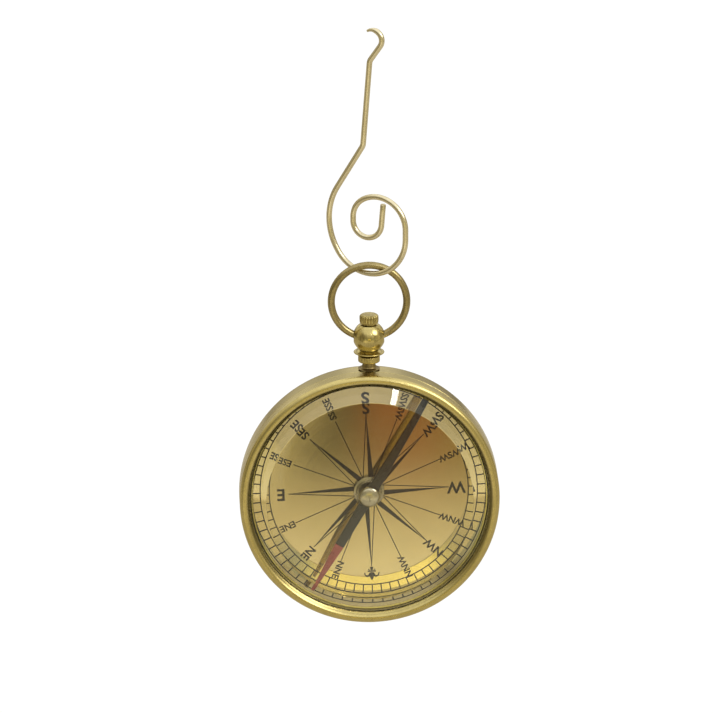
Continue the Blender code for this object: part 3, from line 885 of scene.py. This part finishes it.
@dataclass
class Pivot:
    """The boss on the dial with its pin, nut and the stud that screws into the case."""

    bore: float = 0.6 * MM
    step_share: float = 0.80
    foot_share: float = 0.45
    step_rise: float = 0.12 * MM
    edge: float = 0.16 * MM
    boss_finish: Metal = Metal("boss_brass", (0.46, 0.40, 0.26), (0.17, 0.14, 0.09), 0.22)
    pin_finish: Metal = Metal("pivot_steel", (0.56, 0.56, 0.57), (0.30, 0.29, 0.28), 0.22)
    stud_finish: Metal = Metal("stud_steel", (0.50, 0.49, 0.47), (0.22, 0.19, 0.15), 0.35, axis="Z")

    def build(self) -> None:
        """Makes the boss and dresses the hidden pieces."""
        boss = Disc.of("pivot_boss")
        step = boss.radius * self.step_share
        foot = boss.low + (boss.high - boss.low) * self.foot_share
        profile = [(boss.radius, foot), (boss.radius, boss.low), (self.bore, boss.low)]
        profile += [(self.bore, boss.high), (step, boss.high), (step, foot + self.step_rise)]
        shape = Shape().turn(rounded(profile, self.edge, 5), 96).transform(FACE_FORWARD)
        finish = self.boss_finish.material()
        shape.piece("pivot_boss_turned", Body.CASE, "inner_brass", [finish], ["pivot_boss"])
        dress("pivot_pin", self.pin_finish)
        dress("pivot_nut", self.boss_finish)
        dress("crown_stud", self.stud_finish)


@dataclass
class Needle:
    """The magnetised blade, half of one end red, with its cap and jewel."""

    hub_half_width: float = 1.45 * MM
    black_tip: float = 0.60 * MM
    blade_half_width: float = 1.0 * MM
    shoulder: float = 1.0 * MM
    red_tip: float = 0.30 * MM
    red_shoulder: float = 0.9 * MM
    red_start: float = 11.6 * MM
    hub_half_length: float = 1.2 * MM
    tip_margin: float = 0.3 * MM
    edge: float = 0.12 * MM
    bearing: float = 29.7
    skirt: float = 1.0 * MM
    rim: float = 0.15 * MM
    neck_wall: float = 0.3 * MM
    jewel_play: float = 0.1 * MM
    dome_steps: int = 12
    steel: Coating = Coating("blued_needle", (0.030, 0.027, 0.021), (0.012, 0.011, 0.009), 0.30, 1500.0)
    red: Coating = Coating("red_needle_paint", (0.60, 0.11, 0.085), (0.44, 0.06, 0.05), 0.35, 900.0)
    bare: Metal = Metal(
        "bare_needle_steel", (0.74, 0.68, 0.54), (0.52, 0.47, 0.36), 0.16, Grain.ROLLED, tarnish=0.3)
    brass: Metal = Metal(
        "cap_brass", (0.66, 0.60, 0.44), (0.26, 0.21, 0.12), 0.18, tarnish=0.45, tarnish_scale=900.0)
    ruby: Coating = Coating("jewel_ruby", (0.45, 0.02, 0.05), (0.30, 0.01, 0.03), 0.12)

    def build(self) -> None:
        """Makes the blade and the cap, and dresses the jewel."""
        self._blade()
        self._cap()
        dress("cap_jewel", self.ruby)

    def _blade(self) -> None:
        """A flat plate cut to a long lozenge with soft upper edges, split where the red paint starts."""
        low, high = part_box("needle_blade")
        reach = hypot(high.x - low.x, high.z - low.z) / 2 - self.tip_margin
        half = [
            (self.black_tip, reach),
            (self.blade_half_width, self.hub_half_length + self.shoulder),
            (self.hub_half_width, self.hub_half_length),
            (self.hub_half_width, -self.hub_half_length),
            (self.blade_half_width, -self.hub_half_length - self.shoulder),
            (self.red_shoulder, -self.red_start),
            (self.red_tip, -reach),
        ]
        outline = half + [(-x, y) for x, y in reversed(half)]
        shape = Shape()
        mesh = shape.mesh
        face = mesh.faces.new([mesh.verts.new((x, y, 0)) for x, y in outline])
        face.normal_update()
        if face.normal.z < 0:
            face.normal_flip()
        made = bmesh.ops.extrude_face_region(mesh, geom=mesh.faces[:])
        top = [item for item in made["geom"] if isinstance(item, bmesh.types.BMVert)]
        thickness = high.y - low.y
        bmesh.ops.translate(mesh, vec=(0, 0, thickness), verts=top)
        shape.tidy()
        flat = [e for e in mesh.edges if abs(e.verts[0].co.z - e.verts[1].co.z) < 0.01 * MM
                and e.verts[0].co.z > thickness / 2]
        bmesh.ops.bevel(
            mesh, geom=flat, offset=self.edge, segments=2, profile=0.5, affect="EDGES", material=-1)
        bmesh.ops.bisect_plane(
            mesh, geom=mesh.verts[:] + mesh.edges[:] + mesh.faces[:],
            plane_co=(0, -self.red_start, 0), plane_no=(0, 1, 0),
        )
        for face in mesh.faces:
            bare = face.normal.z < -0.5
            face.material_index = 2 if bare else int(face.calc_center_median().y < -self.red_start)
        turn = Matrix.Rotation(radians(self.bearing), 4, "Y")
        shape.transform(turn @ FACE_FORWARD @ Matrix.Translation((0, 0, -high.y)))
        materials = [self.steel.material(), self.red.material(), self.bare.material()]
        shape.piece("needle_blade_cut", Body.NEEDLE, "needle_steel", materials, ["needle_blade"])

    def _cap(self) -> None:
        """The domed cap: a low dome over a neck that holds the jewel."""
        cap = Disc.of("needle_cap")
        jewel = Disc.of("cap_jewel")
        shoulder = cap.high - self.skirt
        springing = shoulder + self.rim
        socket = jewel.radius + self.jewel_play
        neck = socket + self.neck_wall
        ceiling = jewel.high + self.jewel_play
        profile = [(0.0, cap.high)]
        for i in range(1, self.dome_steps):
            angle = radians(90 * i / self.dome_steps)
            height = springing + (cap.high - springing) * cos(angle) ** 0.7
            profile.append((cap.radius * sin(angle) ** 0.9, height))
        profile += [(cap.radius, springing), (cap.radius, shoulder), (neck, shoulder)]
        profile += [(neck, cap.low), (socket, cap.low), (socket, ceiling), (0, ceiling)]
        shape = Shape().turn(profile, 96, closed=False).transform(FACE_FORWARD)
        shape.piece("needle_cap_domed", Body.NEEDLE, "cap_brass", [self.brass.material()], ["needle_cap"])


@dataclass
class Crown:
    """The turnings between the case and the ring."""

    steps: int = 96
    clearance: float = 0.1 * MM
    seat_drop: float = 0.24 * MM
    base_overhang: float = 0.75 * MM
    base_rim: float = 0.14 * MM
    base_sweep: float = 0.38 * MM
    base_edge: float = 0.08 * MM
    base_taper: float = 0.06 * MM
    base_rise: float = 0.10 * MM
    collar_edge: float = 0.22 * MM
    collar_inset: float = 0.12 * MM
    collar_knurls: int = 36
    collar_depth: float = 0.05 * MM
    flange_hub: float = 1.9 * MM
    flange_skirt: float = 0.25 * MM
    flange_rim_share: float = 0.55
    flange_rim_half: float = 0.13
    flange_steps: int = 6
    socket_radius: float = 0.9 * MM
    bore: float = 1.2 * MM
    spigot_radius: float = 0.8 * MM
    finial_waist: float = 0.45 * MM
    finial_foot: float = 0.14 * MM
    finial_rise: float = 0.30 * MM
    finial_edge: float = 0.28 * MM
    finial_taper: float = 0.05 * MM
    finial_draft: float = 0.02 * MM
    finial_inset: float = 0.20 * MM
    finial_flutes: int = 18
    finial_depth: float = 0.16 * MM
    knurl_reach: float = 0.35 * MM
    brass: Metal = Metal(
        "crown_brass_polished", BRASS_LIGHT, BRASS_DARK, 0.17, axis="Z", tarnish=0.45, tarnish_scale=420.0)

    def finish(self, name: str, tarnish: float, roughness: float, light: Colour = BRASS_LIGHT,
               dark: Colour = BRASS_DARK) -> bpy.types.Material:
        """Makes crown brass turned about the crown's axis.

        Args:
            name: the material's name.
            tarnish: how far the stain hides the metal.
            roughness: the polish.
            light: the clean metal.
            dark: the stain.

        Returns:
            The material.
        """
        centre = tuple(Stem.of("crown_ball").centre)
        metal = replace(self.brass, name=name, tarnish=tarnish, roughness=roughness, light=light, dark=dark)
        return replace(metal, centre=centre).material()

    def build(self) -> None:
        """Makes the five turnings from the case upwards."""
        plain = self.finish(self.brass.name, self.brass.tarnish, self.brass.roughness)
        grooved = self.finish("crown_brass_grooved", 0.9, 0.24)
        # the base under the collar and flange gets a darker brass all over, with heavy dark patches
        darker_base = self.finish("crown_brass_darker_base", 0.8, 0.30, (0.34, 0.26, 0.11), (0.09, 0.065, 0.03))
        hole = Stem.of("crown_stud").radius + self.clearance
        self._base(hole, darker_base)
        self._collar(hole, grooved)
        self._flange(hole, plain)
        self._ball(hole, plain)
        self._finial(grooved)

    def _base(self, hole: float, material: bpy.types.Material) -> None:
        """The flare that seats on the case and its neck."""
        base = Stem.of("crown_base")
        neck = base.radius - self.base_overhang
        sweep, edge = self.base_sweep, self.base_edge
        foot = base.low - self.seat_drop
        rim = foot + self.base_rim
        profile = [(hole, foot), (base.radius - edge, foot), (base.radius, foot + edge)]
        profile += [(base.radius - self.base_taper, rim)]
        profile += arc((neck + sweep, rim + self.base_rise + sweep), sweep, 262, 180, 10)
        profile += [(hole, base.high)]
        shape = Shape().turn(profile, self.steps).transform(base.place)
        shape.piece("crown_base_turned", Body.CASE, "crown_brass", [material], ["crown_base"])

    def _knurl(self, shape: Shape, radius: float, low: float, high: float, count: int, depth: float) -> None:
        """Presses straight grooves into a turned wall by moving its vertices inwards.

        Args:
            shape: the turned wall.
            radius: the wall's radius.
            low: where the grooves start.
            high: where they end.
            count: how many there are.
            depth: how deep they are.
        """
        for vert in shape.mesh.verts:
            reach = hypot(vert.co.x, vert.co.y)
            if reach < radius - self.knurl_reach or not low <= vert.co.z <= high:
                continue
            wave = abs(sin(atan2(vert.co.y, vert.co.x) * count / 2))
            press = depth * (1 - wave) ** 1.5
            vert.co.x *= 1 - press / reach
            vert.co.y *= 1 - press / reach

    def _collar(self, hole: float, material: bpy.types.Material) -> None:
        """The knurled collar under the flange."""
        collar = Stem.of("crown_collar")
        outer, low, high = collar.radius, collar.low, collar.high
        profile = rounded([(hole, low), (outer, low), (outer, high), (hole, high)], self.collar_edge, 4)
        shape = Shape().turn(profile, self.collar_knurls * 8)
        inset = self.collar_inset
        self._knurl(shape, outer, low + inset, high - inset, self.collar_knurls, self.collar_depth)
        shape.transform(collar.place)
        shape.piece(
            "crown_collar_knurled", Body.CASE, "crown_brass", [material], ["crown_collar"], KNURL_EDGE)

    def _flange(self, hole: float, material: bpy.types.Material) -> None:
        """The thin flange: hollow-ground above, sloped below, with a fine rounded rim."""
        flange = Stem.of("crown_flange")
        height = flange.high - flange.low
        rim = flange.low + height * self.flange_rim_share
        half = height * self.flange_rim_half
        edge = flange.radius - half
        hub = self.flange_hub
        profile = [(hole, flange.low), (hub, flange.low)]
        profile += [(flange.radius - self.flange_skirt, rim - half * 1.4)]
        profile += arc((edge, rim), half, -90, 90, 6)
        for i in range(1, self.flange_steps + 1):
            t = i / self.flange_steps
            profile.append((edge - (edge - hub) * t, rim + half + (flange.high - rim - half) * t ** 2.2))
        profile += [(hole, flange.high)]
        shape = Shape().turn(profile, self.steps).transform(flange.place)
        shape.piece("crown_flange_turned", Body.CASE, "crown_brass", [material], ["crown_flange"])

    def _ball(self, hole: float, material: bpy.types.Material) -> None:
        """The ball, bored through from side to side for the ring, with holes for the stud and the spigot."""
        ball, stud, finial = Stem.of("crown_ball"), Stem.of("crown_stud"), Stem.of("crown_finial")
        centre = (ball.low + ball.high) / 2
        half = (ball.high - ball.low) / 2
        flat = sqrt(ball.radius ** 2 - half ** 2)
        top = atan2(half, flat) * 180 / pi
        floor, socket = stud.high + self.clearance, finial.low - self.clearance
        profile = [(0, floor), (hole, floor), (hole, ball.low)]
        profile += arc((0, centre), ball.radius, -top, top, 40)
        profile += [(self.socket_radius, ball.high), (self.socket_radius, socket), (0, socket)]
        shape = Shape().turn(profile, self.steps, closed=False).transform(ball.place)
        item = shape.piece("crown_ball_bored", Body.CASE, "crown_brass", [material], ["crown_ball"])
        drill = Shape()
        bmesh.ops.create_cone(drill.mesh, cap_ends=True, segments=64, radius1=self.bore, radius2=self.bore,
                              depth=3 * ball.radius)
        pivot = Vector(joint("case_swing")["pos_m"])
        drill.transform(Matrix.Translation(pivot) @ Matrix.Rotation(pi / 2, 4, "Y"))
        cut_with(item, drill)

    def _finial(self, material: bpy.types.Material) -> None:
        """The knurled knob on top of the ball, with its spigot."""
        finial = Stem.of("crown_finial")
        ball = Stem.of("crown_ball")
        radius, high, rise, waist = finial.radius, finial.high, self.finial_rise, self.finial_waist
        low = ball.high + self.clearance
        neck = radius - waist
        foot = (neck, low + self.finial_foot)
        profile = [(0, finial.low), (self.spigot_radius, finial.low), (self.spigot_radius, low), (neck, low)]
        knob = [(radius - self.finial_taper, low + rise), (radius, (low + high) / 2)]
        knob += [(radius - self.finial_draft, high - rise), (radius - waist, high)]
        smooth = rounded([foot] + knob + [(0, high)], self.finial_edge, 4)
        profile += [foot] + [point for point in smooth if point[0] > neck * 0.3] + [(0, high)]
        shape = Shape().turn(profile, self.finial_flutes * 12, closed=False)
        top = high - self.finial_inset
        self._knurl(shape, radius, low + rise, top, self.finial_flutes, self.finial_depth)
        shape.transform(finial.place)
        shape.piece(
            "crown_finial_knurled", Body.CASE, "crown_brass", [material], ["crown_finial"], KNURL_EDGE)


def cut_with(item: bpy.types.Object, tool: Shape) -> None:
    """Cuts a tool's shape out of an object and applies the cut.

    Args:
        item: the object to cut.
        tool: the shape to take away.
    """
    data = bpy.data.meshes.new("tool")
    tool.mesh.to_mesh(data)
    tool.mesh.free()
    cutter = bpy.data.objects.new("tool", data)
    bpy.context.scene.collection.objects.link(cutter)
    cut = item.modifiers.new("cut", "BOOLEAN")
    cut.operation = "DIFFERENCE"
    cut.object = cutter
    bpy.context.view_layer.update()
    graph = bpy.context.evaluated_depsgraph_get()
    made = bpy.data.meshes.new_from_object(item.evaluated_get(graph))
    item.modifiers.clear()
    item.data = made
    made.shade_smooth()
    made.set_sharp_from_angle(angle=radians(HARD_EDGE))
    bpy.data.objects.remove(cutter)
    bpy.data.meshes.remove(data)


class WirePen:
    """Draws a round wire by dragging its cross-section along straight runs and arcs in the XZ plane."""

    def __init__(self, radius: float, heading: float, sides: int = 24) -> None:
        """Starts the wire with one open circle at the origin.

        Args:
            radius: the wire's radius.
            heading: the direction of travel, in degrees from +X towards +Z.
            sides: facets round the wire.
        """
        self.shape = Shape()
        self.heading = radians(heading)
        self.place = Vector((0, 0, 0))
        made = bmesh.ops.create_circle(self.shape.mesh, cap_ends=False, segments=sides, radius=radius)
        self.loop = made["verts"]
        self.edges = self.shape.mesh.edges[:]
        turn = Matrix.Rotation(pi / 2 - self.heading, 4, "Y")
        bmesh.ops.transform(self.shape.mesh, matrix=turn, verts=self.loop)

    @property
    def way(self) -> Vector:
        """The direction of travel."""
        return Vector((cos(self.heading), 0, sin(self.heading)))

    def drag(self, matrix: Matrix, scale: float = 1.0) -> None:
        """Extrudes the open end, moves it by a matrix and scales it about its centre."""
        made = bmesh.ops.extrude_edge_only(self.shape.mesh, edges=self.edges)["geom"]
        self.loop = [item for item in made if isinstance(item, bmesh.types.BMVert)]
        self.edges = [item for item in made if isinstance(item, bmesh.types.BMEdge)
                      and item.verts[0] in self.loop and item.verts[1] in self.loop]
        bmesh.ops.transform(self.shape.mesh, matrix=matrix, verts=self.loop)
        self.place = matrix @ self.place
        if scale != 1.0:
            bmesh.ops.scale(self.shape.mesh, vec=(scale,) * 3, space=Matrix.Translation(-self.place),
                            verts=self.loop)

    def run(self, length: float, steps: int = 1) -> None:
        """Draws a straight run."""
        for _ in range(steps):
            self.drag(Matrix.Translation(self.way * length / steps))

    def turn(self, radius: float, sweep: float, step: float = 4.0, scale: float = 1.0) -> Vector:
        """Draws an arc.

        Args:
            radius: the arc's radius at the wire's centre.
            sweep: degrees, to the left if positive.
            step: degrees between sections.
            scale: factor on the wire's radius over the whole arc.

        Returns:
            The arc's centre.
        """
        side = 1 if sweep > 0 else -1
        left = Vector((-sin(self.heading), 0, cos(self.heading)))
        centre = self.place + left * radius * side
        count = max(2, round(abs(sweep) / step))
        turn = Matrix.Rotation(-radians(sweep) / count, 4, "Y")
        matrix = Matrix.Translation(centre) @ turn @ Matrix.Translation(-centre)
        for _ in range(count):
            self.drag(matrix, scale ** (1 / count))
        self.heading += radians(sweep)
        return centre

    def close(self, depth: float, steps: int = 4, roll: float = 80.0) -> None:
        """Rounds off the open end and caps it.

        Args:
            depth: how far the rounding reaches.
            steps: sections in it.
            roll: how far it turns in towards the axis, in degrees.
        """
        before = 1.0
        for i in range(1, steps + 1):
            angle = radians(roll * i / steps)
            now = cos(angle)
            length = depth * (sin(angle) - sin(radians(roll * (i - 1) / steps)))
            self.drag(Matrix.Translation(self.way * length), now / before)
            before = now
        bmesh.ops.contextual_create(self.shape.mesh, geom=self.edges)


@dataclass
class BowRing:
    """The split ring through the ball, drawn wire closed up inside the bore."""

    split: float = 0.3 * MM
    sides: int = 28
    steps: int = 180
    brass: Metal = Metal(
        "ring_wire_brass", (0.44, 0.36, 0.17), (0.15, 0.11, 0.04), 0.26, tarnish=0.6, tarnish_scale=260.0)

    def build(self) -> None:
        """Makes the ring by spinning its section almost full circle."""
        low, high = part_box("bow_ring")
        centre = (low + high) / 2
        wire = (high.y - low.y) / 2
        radius = (high.x - low.x) / 2 - wire
        shape = Shape()
        made = bmesh.ops.create_circle(shape.mesh, cap_ends=False, segments=self.sides, radius=wire)
        bmesh.ops.transform(shape.mesh, matrix=Matrix.Translation((radius, 0, 0)), verts=made["verts"])
        gap = self.split / radius
        begin = Matrix.Rotation(-(pi / 2 + gap / 2), 4, "Z") @ Matrix.Translation((radius, 0, 0))
        begin = begin @ Matrix.Rotation(pi / 2, 4, "X") @ Matrix.Translation((-radius, 0, 0))
        bmesh.ops.transform(shape.mesh, matrix=begin, verts=shape.mesh.verts[:])
        ends = shape.mesh.edges[:]
        last = bmesh.ops.spin(
            shape.mesh, geom=shape.mesh.verts[:] + ends, cent=(0, 0, 0), axis=(0, 0, 1),
            angle=-(2 * pi - gap), steps=self.steps, use_merge=False)["geom_last"]
        bmesh.ops.contextual_create(shape.mesh, geom=ends)
        bmesh.ops.contextual_create(shape.mesh, geom=[e for e in last if isinstance(e, bmesh.types.BMEdge)])
        shape.tidy()
        shape.transform(Matrix.Translation(centre) @ FACE_FORWARD)
        finish = replace(self.brass, centre=tuple(centre)).material()
        shape.piece("bow_ring_drawn", Body.RING, "ring_brass", [finish], ["bow_ring"], WIRE_EDGE)


@dataclass
class Hook:
    """The scrolled wire hook, drawn from its tapered tip to the scroll's inner end.

    Pairs are the radius and the sweep of a bend.
    """

    heading: float = 35.0
    tip_share: float = 0.45
    tip_sweep: float = 60.0
    bend: tuple[float, float] = (1.93 * MM, -160.0)
    bend_return: float = 3.3 * MM
    upper_kink: tuple[float, float] = (2.0 * MM, 30.3)
    shank: float = 15.9 * MM
    lower_kink: tuple[float, float] = (2.0 * MM, -26.8)
    shoulder: float = 9.9 * MM
    left: tuple[float, float] = (12.0 * MM, 66.5)
    cradle: tuple[float, float] = (7.7 * MM, 145.0)
    right_rise: float = 1.8 * MM
    crown: tuple[float, float] = (5.95 * MM, 120.0)
    scroll: tuple[float, float] = (4.3 * MM, 60.0)
    scroll_drop: float = 0.8 * MM
    curl: tuple[float, float] = (3.0 * MM, 175.0)
    end_rise: float = 4.2 * MM
    wire: float = 0.55 * MM
    end_share: float = 0.35
    brass: Metal = Metal(
        "hook_wire_brass", (0.80, 0.72, 0.50), (0.46, 0.38, 0.20), 0.20, tarnish=0.4, tarnish_scale=300.0)

    def build(self) -> None:
        """Draws the wire and hangs it where the ring's hinge says."""
        pen = WirePen(self.wire * self.tip_share, self.heading)
        radius, sweep = self.bend
        pen.turn(radius, -self.tip_sweep, scale=1 / self.tip_share)
        pen.turn(radius, sweep + self.tip_sweep)
        pen.run(self.bend_return, 3)
        pen.turn(*self.upper_kink)
        pen.run(self.shank, 12)
        pen.turn(*self.lower_kink)
        pen.run(self.shoulder, 8)
        pen.turn(*self.left, step=3.0)
        centre = pen.turn(*self.cradle, step=3.0)
        pen.run(self.right_rise, 2)
        pen.turn(*self.crown, step=3.0)
        pen.turn(*self.scroll)
        pen.run(self.scroll_drop)
        pen.turn(*self.curl)
        pen.run(self.end_rise, 3)
        pen.close(self.wire * self.end_share)
        shape = pen.shape
        bmesh.ops.holes_fill(shape.mesh, edges=shape.mesh.edges[:], sides=0)
        shape.tidy()
        hinge = joint("ring_sway")
        turn = atan2(hinge["axis"][0], hinge["axis"][1])
        hang = Matrix.Translation(Vector(hinge["pos_m"])) @ Matrix.Rotation(-turn, 4, "Z")
        shape.transform(hang @ Matrix.Translation(-centre))
        finish = self.brass.material()
        shape.piece("hook_wire_drawn", Body.HOOK, "hook_brass", [finish], ["hook_wire"], WIRE_EDGE)


@dataclass(frozen=True)
class Lamp:
    """A round soft lamp aimed at the object."""

    name: str
    place: tuple[float, float, float]
    size: float
    power: float
    colour: Colour = (1.0, 0.985, 0.96)

    def build(self) -> None:
        """Hangs the lamp."""
        data = bpy.data.lights.new(self.name, "AREA")
        data.shape = "DISK"
        data.size = self.size
        data.energy = self.power
        data.color = self.colour
        item = bpy.data.objects.new(self.name, data)
        item.location = self.place
        item.rotation_mode = "QUATERNION"
        item.rotation_quaternion = Vector(self.place).to_track_quat("Z", "Y")
        bpy.context.scene.collection.objects.link(item)


WHITE: Colour = (1.0, 1.0, 1.0)
AMBER: Colour = (1.60, 1.38, 0.50)


@dataclass
class Studio:
    """The floor, the soft light round the object and the camera."""

    azimuth: float = -2.0
    elevation: float = 18.0
    lens: float = 400.0
    view_width: float = 136.6 * MM
    aim: tuple[float, float, float] = (-2.4 * MM, -5.0 * MM, 27.5 * MM)
    floor_level: float = -90.0 * MM
    floor_size: float = 1.6
    floor_shift: float = 0.38
    floor_glow: float = 1.05
    patch_middle: float = 0.3379
    patch_bow: float = -150.0
    key: Lamp = Lamp("key", (0.46, -0.34, 0.46), 0.40, 1.7)
    window: Lamp = Lamp("window", (0.186, -0.637, 0.446), 0.045, 0.10)

    def build(self) -> None:
        """Sets up everything that isn't the object."""
        self._camera()
        self._floor()
        self._world()
        self.key.build()
        self.window.build()
        bpy.context.scene.view_settings.view_transform = "Standard"

    def _camera(self) -> None:
        """A long lens, looking a little down on the dial."""
        data = bpy.data.cameras.new("camera")
        data.lens = self.lens
        distance = self.view_width / 2 / (data.sensor_width / 2 / self.lens)
        a, e = radians(self.azimuth), radians(self.elevation)
        back = Vector((sin(a) * cos(e), -cos(a) * cos(e), sin(e)))
        camera = bpy.data.objects.new("camera", data)
        camera.location = Vector(self.aim) + back * distance
        camera.rotation_mode = "QUATERNION"
        camera.rotation_quaternion = (-back).to_track_quat("-Z", "Y")
        data.clip_start = 0.01
        bpy.context.scene.collection.objects.link(camera)
        bpy.context.scene.camera = camera

    def _floor(self) -> None:
        """A pale disc well below the hanging compass."""
        mesh = bmesh.new()
        bmesh.ops.create_circle(mesh, cap_ends=True, segments=96, radius=self.floor_size / 2)
        middle = (0, self.floor_size * self.floor_shift, self.floor_level)
        bmesh.ops.translate(mesh, vec=middle, verts=mesh.verts[:])
        data = bpy.data.meshes.new("floor")
        mesh.to_mesh(data)
        mesh.free()
        material, tree = new_material("pale_floor")
        colour = tree.ramp(tree.noise(tree.place(), 6.0), [(0.3, (0.98, 0.98, 0.98)), (0.7, WHITE)])
        seen = tree.add("LightPath").outputs["Is Camera Ray"]
        sheet = tree.add("BsdfPrincipled", {"Base Color": (0.52, 0.48, 0.40, 1.0), "Roughness": 0.9})
        white = tree.add("Emission", {"Color": colour, "Strength": self.floor_glow})
        shader = tree.add("MixShader", {0: seen, 1: sheet.outputs[0], 2: white.outputs[0]})
        tree.add("OutputMaterial", {"Surface": shader.outputs[0]})
        data.materials.append(material)
        floor = bpy.data.objects.new("floor", data)
        bpy.context.scene.collection.objects.link(floor)

    def _world(self) -> None:
        """A pale backdrop for the camera, and a room with soft lights and darker corners for the brass."""
        world = bpy.data.worlds.new("studio")
        bpy.context.scene.world = world
        world.use_nodes = True
        tree = NodeTree(world.node_tree)
        way = tree.add("TexCoord").outputs["Generated"]
        parts = tree.add("SeparateXYZ", {0: way})
        side, depth, up = parts.outputs[0], parts.outputs[1], parts.outputs[2]
        height = tree.maths("MULTIPLY_ADD", up, 0.5, 0.5)
        olive = self._wall(tree, height, (0.085, 0.076, 0.040), AMBER)
        rust = self._wall(tree, height, (0.34, 0.125, 0.045), AMBER)
        straw = self._wall(tree, height, (0.30, 0.22, 0.070), AMBER)
        clear = self._wall(tree, height, (0.80, 0.70, 0.44), (0.36, 0.39, 0.30))
        room = tree.mix(tree.remap(side, 0.031, 0.037), olive, rust)
        room = tree.mix(tree.remap(side, 0.041, 0.048), room, straw)
        # the dark patch ahead ends in a curved edge on one side and fades out on both
        rise = tree.maths("ABSOLUTE", tree.maths("SUBTRACT", height, self.patch_middle))
        bow = tree.maths("POWER", rise, 2.0)
        edge = tree.remap(tree.maths("MULTIPLY_ADD", bow, self.patch_bow, side), 0.0243, 0.0235)
        edge = tree.maths("MULTIPLY", edge, tree.remap(height, 0.350, 0.356, 1.0, 0.0))
        room = tree.mix(edge, room, clear)
        aside = tree.maths("ABSOLUTE", side)
        room = tree.mix(tree.remap(aside, 0.10, 0.20), room, clear)
        # the side walls, the wall behind and the ceiling
        lit = tree.mix(tree.remap(side, -0.40, -0.72), room, (0.44, 0.39, 0.26))
        lit = tree.mix(tree.remap(side, 0.40, 0.72), lit, (0.62, 0.56, 0.40))
        back = tree.mix(tree.remap(up, -0.05, 0.30), (0.30, 0.26, 0.18), (0.98, 0.95, 0.84))
        lit = tree.mix(tree.remap(depth, 0.2, 0.7, 0.0, 0.85), lit, back)
        # tall soft shapes that stand along the walls
        clutter = tree.remap(tree.noise(tree.stretch(way, (1.0, 1.0, 0.3)), 2.6, 2.0), 0.40, 0.60, 0.36, 1.36)
        crowd = tree.add("CombineXYZ", {0: clutter, 1: clutter, 2: clutter}).outputs[0]
        amount = tree.maths("MAXIMUM", tree.remap(aside, 0.26, 0.40), tree.remap(depth, -0.2, 0.2, 0.0, 0.55))
        lit = tree.mix(amount, lit, tree.mix(1.0, lit, crowd, "MULTIPLY"))
        lit = tree.mix(tree.remap(up, 0.45, 0.85), lit, (1.25, 1.25, 1.22))
        seen = tree.add("LightPath").outputs["Is Camera Ray"]
        colour = tree.mix(seen, lit, WHITE)
        shader = tree.add("Background", {"Color": colour, "Strength": 1.0})
        tree.add("OutputWorld", {"Surface": shader.outputs[0]})

    def _wall(self, tree: NodeTree, height: Socket, shade: Colour, glow: Colour) -> Socket:
        """Paints the room from the ground up.

        Args:
            tree: the world's tree.
            height: 0 straight down, 1 straight up.
            shade: the band just below eye level.
            glow: the band at eye level.

        Returns:
            The room's colour.
        """
        return tree.ramp(height, [
            (0.000, (0.50, 0.44, 0.32)),
            (0.250, (0.72, 0.65, 0.46)),
            (0.322, (1.10, 1.02, 0.80)),
            (0.3330, (1.12, 1.00, 0.72)),
            (0.3370, (0.62, 0.52, 0.30)),
            (0.3405, shade),
            (0.400, shade),
            (0.440, glow),
            (0.540, (0.42, 0.37, 0.24)),
            (0.640, (0.70, 0.66, 0.55)),
            (0.780, (1.10, 1.08, 1.02)),
        ])


def main() -> None:
    """Builds the studio and every sub-assembly in order."""
    logging.basicConfig(level=logging.INFO, format="%(name)s: %(message)s")
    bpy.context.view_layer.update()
    for assembly in (Studio, CaseShell, Crystal, Dial, Pivot, Needle, Crown, BowRing, Hook):
        assembly().build()
        LOG.info("%s is built", assembly.__name__)


if __name__ == "__main__":
    main()
